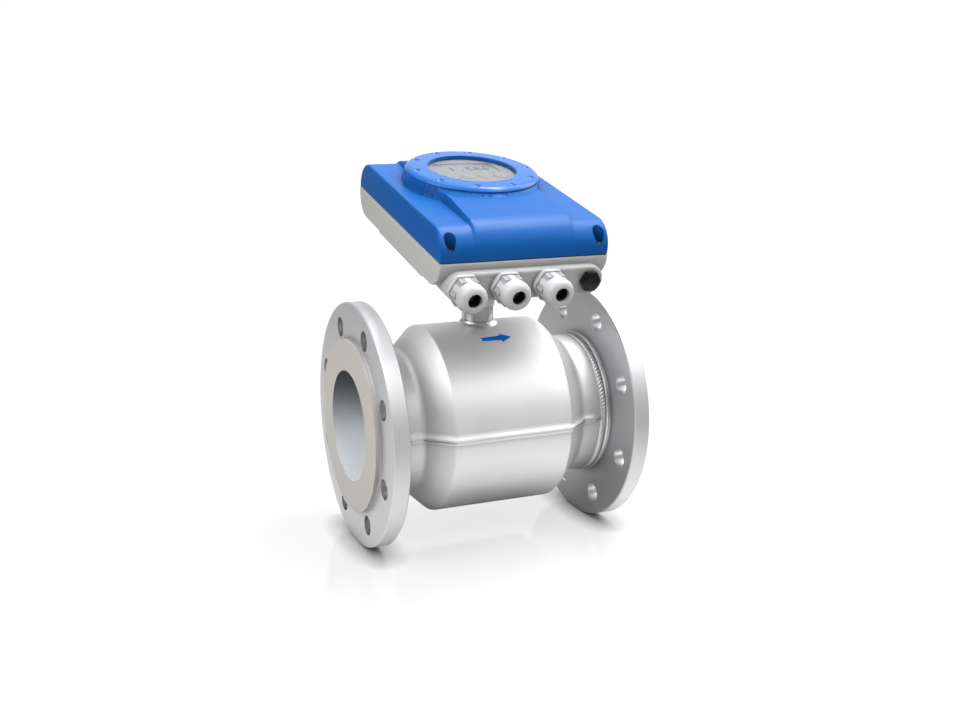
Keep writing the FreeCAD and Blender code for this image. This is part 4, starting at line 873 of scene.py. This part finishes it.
def prism(points, low, high):
    """Extrude a closed outline into a block between two heights."""
    block = draw([(x, y, low) for x, y, _ in points], closed=True)
    bpy.ops.object.mode_set(mode="EDIT")
    bpy.ops.mesh.select_all(action="SELECT")
    bpy.ops.mesh.extrude_region_move(
        TRANSFORM_OT_translate={"value": (0, 0, (high - low) * MM)})
    bpy.ops.mesh.select_all(action="SELECT")
    bpy.ops.mesh.normals_make_consistent(inside=False)
    end_edit()
    return block


def rz(pairs):
    """Profile points for the lathe from (radius, height) pairs."""
    return [(radius, 0, height) for radius, height in pairs]


def arc(centre, radius, start, end, count):
    return [(centre[0] + radius * math.cos(math.radians(start + (end - start) * k / count)),
             centre[1] + radius * math.sin(math.radians(start + (end - start) * k / count)))
            for k in range(count + 1)]


foot = prism(hexagon_line(BODY_FLATS), BODY_LOW, BODY_HIGH)
carve(foot, lathe(rz([(0, BODY_LOW), (12.8, BODY_LOW), (15.2, 8.8), (15.2, 11.3),
                      (13.7, BODY_HIGH), (0, BODY_HIGH)]), (0, 0, 1)), "INTERSECT")
soften(foot, 0.35, 20)
carve(foot, round_bar(0, 0, BODY_LOW - 1, BODY_HIGH + 1, BODY_BORE, 48))
core = lathe(rz([(6.5, -4), (9.95, -4), (9.95, BODY_LOW), (10.02, BODY_LOW),
                 (10.02, BODY_HIGH), (10.2, BODY_HIGH), (10.2, 20.7), (9.9, 21),
                 (6.5, 21)]), (0, 0, 1))
carve(foot, core, "UNION")

nut = prism(hexagon_line(NUT_FLATS, RIBS), NUT_LOW, NUT_HIGH)
carve(nut, lathe(rz([(0, NUT_LOW), (12.3, NUT_LOW), (13.75, 13.2), (13.75, 22.5),
                     (12.3, 23.4), (0, 23.4)]), (0, 0, 1)), "INTERSECT")
carve(nut, round_bar(0, 0, 12, 23, NUT_BORE, 48))
dome = lathe(rz([(10.25, 12.3), (11.3, 12.3), (11.3, 21.9), (12.0, 21.9), (12.35, 22.3),
                 (12.4, 22.9)] + arc((6.2, 28.1), 6.2, 0, 90, 9) + [
                     (6.25, 34.15), (6.0, 33.8), (6.0, 30.9), (9.6, 30.9), (9.6, 21.3),
                     (10.25, 21.3)]), (0, 0, 1), steps=72)
carve(nut, dome, "UNION")

for index in range(3):
    for model, kind, body in ((foot, "body", "meter"), (nut, "nut", f"nut_{index + 1}")):
        piece = bpy.data.objects.new(f"entry_{kind}_{index + 1}", model.data.copy())
        bpy.context.scene.collection.objects.link(piece)
        settle(piece, f"entry_{kind}_{index + 1}", NYLON, body=body,
               place=entry_place(index), instead_of=[f"gland_{kind}_{index + 1}"])
for model in (foot, nut):
    bpy.data.objects.remove(model)

# %% [markdown]
# The steel shell is welded to a ring on each flange. A machine lays that bead, so its ripples
# are even: each one is a small scale with a curved front edge. A half round profile is spun
# about the pipe axis in fine steps, and the points are then lifted in step with the ripples.
# Beyond the bead the flange's hub has two fine turned rings, which are spun the same way.

# %% Ring welds
NECK_R, BEAD_IN, BEAD_OUT, BEAD_HEIGHT = 64.5, 94.8, 101.2, 1.9
BEAD_SUNK, BEAD_FULLNESS = 0.4, 0.6
SCALES, STEPS_PER_SCALE, SCALE_RISE = 120, 8, 1.3
SCALE_BEND, SCALE_SLANT, SCALE_MARGIN, DROP_AT = 0.3, 0.6, 0.35, 0.8
COLLAR = [(100.4, 65.0), (100.5, 66.4), (100.8, 67.0), (101.4, 67.4), (102.2, 67.4),
          (102.8, 67.0), (103.1, 66.4), (103.3, 66.3), (103.6, 66.6), (104.0, 66.8),
          (104.4, 66.6), (104.7, 66.4), (104.9, 66.6), (105.0, 67.1), (105.0, 65.0)]


def ripple(turn, lag, count):
    """Height of a ripple from 0 to 1: a slow rise and a quick drop, bent by the lag."""
    phase = (turn * count / math.tau + lag) % 1.0
    if phase < DROP_AT:
        return phase ** 1.5
    return (1 - phase) / (1 - DROP_AT) * DROP_AT ** 1.5


centre, half = (BEAD_IN + BEAD_OUT) / 2, (BEAD_OUT - BEAD_IN) / 2
for label, way in (("inlet", -1), ("outlet", 1)):
    crown = [(way * (centre + half * math.cos(math.radians(angle))), NECK_R - BEAD_SUNK + (
        BEAD_HEIGHT * math.sin(math.radians(angle)) ** BEAD_FULLNESS), 0)
             for angle in range(0, 181, 15)]
    bead = lathe(crown, (1, 0, 0), steps=SCALES * STEPS_PER_SCALE)
    for point in bead.data.vertices:
        x, y, z = point.co / MM
        radius = math.hypot(y, z)
        share = (x * way - centre) / half
        lag = SCALE_BEND * share * share - SCALE_SLANT * share
        lift = SCALE_RISE * (ripple(math.atan2(z, -y), lag, SCALES) - 0.5)
        lift *= min((1 - abs(share)) / SCALE_MARGIN, 1)
        scale = (radius + lift) / radius
        point.co = Vector((x, y * scale, z * scale)) * MM
    settle(bead, f"ring_bead_{label}", WELD, instead_of=[f"weld_{label}"],
           smooth=60)
    collar = [(way * x, radius, 0) for x, radius in COLLAR]
    settle(lathe(collar, (1, 0, 0), steps=180), f"hub_rings_{label}", WELD,
           smooth=60)

# %% [markdown]
# Where each cone meets the middle of the shell, the pressed sheet has a fine raised crease that
# catches the light. It is a thin ring in section: the cone's line, a small arc and the shell's
# line, spun about the pipe axis and standing just proud of the sheet. The earthing stud is a
# small lathe piece too. It is set square to the outlet cone, low on the far side.

# %% Creases and stud
CREASE_X, CREASE_R, CREASE_ROUND, CREASE_RUN, PROUD = 55.0, 85.0, 2.6, 3.9, 0.03
SLOPE = math.atan2(20.5, 22.0)
tangent = CREASE_ROUND * math.tan(SLOPE / 2)
bend = [(CREASE_X - tangent + CREASE_ROUND * math.sin(SLOPE * k / 5),
         CREASE_R - CREASE_ROUND * (1 - math.cos(SLOPE * k / 5))) for k in range(6)]
ends = [(CREASE_X - CREASE_RUN, CREASE_R),
        (CREASE_X + CREASE_RUN * math.cos(SLOPE), CREASE_R - CREASE_RUN * math.sin(SLOPE))]
under = [(ends[1][0] - 0.6, ends[1][1] - 0.7), (CREASE_X - 0.6, CREASE_R - 1.6),
         (ends[0][0], CREASE_R - 0.8)]
raised = [(x, radius + PROUD) for x, radius in bend]
for label, way in (("inlet", -1), ("outlet", 1)):
    section = [(way * x, radius, 0)
               for x, radius in [ends[0]] + raised + [ends[1]] + under]
    settle(lathe(section, (1, 0, 0), steps=180), f"crease_{label}", SHELL,
           smooth=50)

STUD_X, STUD_TURN = 62.5, math.radians(137)
reach = CREASE_R - (STUD_X - CREASE_X) * math.tan(SLOPE)
outwards = Vector((math.sin(SLOPE), -math.cos(SLOPE) * math.sin(STUD_TURN),
                   math.cos(SLOPE) * math.cos(STUD_TURN)))
foot_place = Matrix.Translation(Vector((STUD_X, -reach * math.sin(STUD_TURN),
                                        reach * math.cos(STUD_TURN))) * MM)
stud = lathe(rz([(0, -0.6), (2.6, -0.6), (2.6, 0.5), (1.6, 0.8), (1.6, 3.4), (1.3, 3.9),
                 (0, 4.0)]), (0, 0, 1), steps=32)
settle(stud, "earth_stud", SCREW,
       place=foot_place @ outwards.to_track_quat("Z", "Y").to_matrix().to_4x4(), smooth=30)

# %% [markdown]
# The neck tube stands on a low collar that is pressed out of the shell, with a hand-laid bead
# around its foot. Both are one spun profile that is then dropped onto the round shell: each
# point is raised by the shell's own height below it.

# %% Stem weld
SHELL_R, BEAD_WAVES, BEAD_WAVE_RISE = 85.0, 52, 0.45
profile = [(14.46, 3.3), (14.9, 3.3), (15.5, 3.0), (15.9, 2.5), (16.0, 1.9), (16.5, 1.6),
           (17.1, 1.1), (17.7, 0.5), (18.6, 0.0), (19.2, -0.4), (14.46, -0.4)]
stem_bead = lathe(rz(profile), (0, 0, 1), steps=176)
for point in stem_bead.data.vertices:
    x, y, z = point.co / MM
    radius = math.hypot(x, y)
    if 14.8 < radius < 16.2 and z > 1.7:
        turn = math.atan2(y, x)
        z += BEAD_WAVE_RISE * ripple(turn, 0.9 * math.sin(7 * turn), BEAD_WAVES)
    point.co = Vector((x, y, z + math.sqrt(SHELL_R ** 2 - y ** 2))) * MM
settle(stem_bead, "stem_bead", WELD, instead_of=["stem_weld"], smooth=50)

# %% [markdown]
# The two half shells meet in a seam that stands out all along their sides. The upper sheet
# curves out to a thick rounded lip, a fine groove lies under it, and the lower sheet ends in a
# thinner lip. This section is swept along the side of the shell, as a strip of grid: each row
# of the grid is the section at one station, and the last stations shrink it to a point.

# %% Seam
SEAM_SECTION = [(-0.3, 6.2), (0.1, 4.9), (0.5, 3.8), (1.0, 3.0), (1.7, 2.5), (2.3, 2.1),
                (2.6, 1.5), (2.65, 0.8), (2.5, 0.1), (1.9, -0.3), (0.9, -0.5), (0.3, -0.9),
                (0.9, -1.3), (1.9, -1.3), (2.3, -1.6), (2.35, -2.2), (2.1, -2.7), (1.5, -3.1),
                (0.8, -3.4), (0.1, -3.9), (-0.4, -4.4), (-2.0, -4.4), (-2.0, 6.2)]
SEAM_END, CONE_FOOT, CONE_TOP = 97.0, 77.0, 55.0
SEAM_POINT, SEAM_STEP, SEAM_MIDDLE, SEAM_TIP = 9.0, 2.0, 0.6, 0.15


def side_reach(x):
    """How far the shell's side is from the pipe axis at one station, with eased corners."""
    spots = [abs(x) + shift for shift in (-2, -1, 0, 1, 2)]
    shares = [min(max((CONE_FOOT - spot) / (CONE_FOOT - CONE_TOP), 0), 1) for spot in spots]
    return NECK_R + (SHELL_R - NECK_R) * sum(shares) / len(shares)


def grid_strip(rows):
    """A closed bar whose rows of points are sections, made by wrapping a grid."""
    count = len(rows[0])
    bpy.ops.object.select_all(action="DESELECT")
    bpy.ops.mesh.primitive_grid_add(x_subdivisions=count, y_subdivisions=len(rows) - 1, size=1)
    bar = bpy.context.object
    for row, section in enumerate(rows):
        for column in range(count + 1):
            bar.data.vertices[row * (count + 1) + column].co = Vector(
                section[column % count]) * MM
    start_edit(bar)
    bpy.ops.mesh.select_all(action="SELECT")
    bpy.ops.mesh.remove_doubles(threshold=MERGE)
    for end in (rows[0], rows[-1]):
        station = end[0][0] * MM
        pick("VERT", lambda vert: abs(vert.co.x - station) < 1e-6)
        bpy.ops.mesh.edge_face_add()
    bpy.ops.mesh.select_all(action="SELECT")
    bpy.ops.mesh.normals_make_consistent(inside=False)
    end_edit()
    return bar


stations = [-SEAM_END + SEAM_STEP * index for index in range(int(2 * SEAM_END / SEAM_STEP) + 1)]
for label, way in (("front", -1), ("rear", 1)):
    rows = []
    for x in stations:
        reach = side_reach(x)
        lean = math.hypot(1, side_reach(x + 0.5) - side_reach(x - 0.5))
        size = min((SEAM_END - abs(x)) / SEAM_POINT, 1) ** 0.5 * (1 - SEAM_TIP) + SEAM_TIP
        rows.append([(x, way * (reach + (out * size if out > 0 else out) * lean),
                      SEAM_MIDDLE + (height - SEAM_MIDDLE) * size)
                     for out, height in SEAM_SECTION])
    settle(grid_strip(rows), f"seam_{label}", SHELL, smooth=60)

# %% [markdown]
# The flow arrow is printed on the shell. It is drawn flat as an outline with a notched tail,
# cut into strips so that it can bend, laid on the round shell and given a film's thickness.

# %% Flow arrow
ARROW = [(-12.5, 36.3), (7.4, 34.7), (7.2, 31.8), (17.3, 37.9), (6.9, 44.0), (6.8, 41.2),
         (-12.5, 40.6), (-10.6, 38.4)]
PRINT_LIFT, PRINT_FILM, STRIP = 0.06, 0.12, 2
arrow = draw([(x, arc_length, 0) for x, arc_length in ARROW], closed=True)
bpy.ops.object.mode_set(mode="EDIT")
for arc_length in range(32, 45, STRIP):
    bpy.ops.mesh.select_all(action="SELECT")
    bpy.ops.mesh.bisect(plane_co=(0, arc_length * MM, 0), plane_no=(0, 1, 0))
end_edit()
for point in arrow.data.vertices:
    turn = point.co.y / MM / SHELL_R
    reach = (SHELL_R + PRINT_LIFT) * MM
    point.co = Vector((point.co.x, -reach * math.sin(turn), reach * math.cos(turn)))
start_edit(arrow)
pick("FACE", lambda face: True)
bpy.ops.mesh.normals_make_consistent(inside=False)
end_edit()
if arrow.data.polygons[0].normal.z < 0:
    arrow.data.flip_normals()
film = arrow.modifiers.new("film", "SOLIDIFY")
film.thickness = PRINT_FILM * MM
film.offset = 1
apply_all(arrow)
settle(arrow, "flow_arrow", INK, smooth=30)

# %% [markdown]
# The display has plain figures, a ring round each key and a small mark on each key cap. The
# figures are text objects made into meshes, because a mesh keeps its place when it is exported.

# %% Display print
PLATE_TOP, LCD_TOP, KEY_TOP = 35.6, 35.34, 35.92
KEY_Y, KEY_PITCH, LCD_Y = 115.0, 15.4, 138.8
FIGURE_HEIGHT, MARK_HEIGHT, CAP_HEIGHT, FIGURE_FILM = 11, 3, 0.7, 0.03
RIM = [(6.2, -0.1), (6.65, -0.1), (6.65, 0.05), (6.2, 0.05)]


def print_text(name, text, x, y, z, height, body):
    """Printed figures of a height, centred on a point of the head."""
    bpy.ops.object.select_all(action="DESELECT")
    bpy.ops.object.text_add(location=(x * MM, y * MM, z * MM))
    figures = bpy.context.object
    figures.data.body = text
    figures.data.size = height / CAP_HEIGHT * MM
    figures.data.align_x = "CENTER"
    figures.data.align_y = "CENTER"
    figures.data.extrude = FIGURE_FILM * MM
    figures.data.resolution_u = 4
    bpy.ops.object.convert(target="MESH")
    settle(bpy.context.object, name, PRINT, body=body, place=HEAD)


for label, text, x in (("whole", "1", -15), ("point", ".", -6), ("places", "586", 10)):
    print_text(f"figure_{label}", text, x, LCD_Y, LCD_TOP, FIGURE_HEIGHT, "meter")
for index, mark in enumerate(("<", "+", "-", ">")):
    x = (index - 1.5) * KEY_PITCH
    rim = lathe(rz([(radius, PLATE_TOP + level) for radius, level in RIM]), (0, 0, 1), steps=48)
    rim.location = (x * MM, KEY_Y * MM, 0)
    settle(rim, f"key_rim_{index + 1}", PRINT, place=HEAD)
    print_text(f"key_mark_{index + 1}", mark, x, KEY_Y, KEY_TOP, MARK_HEIGHT,
               f"key_{index + 1}")
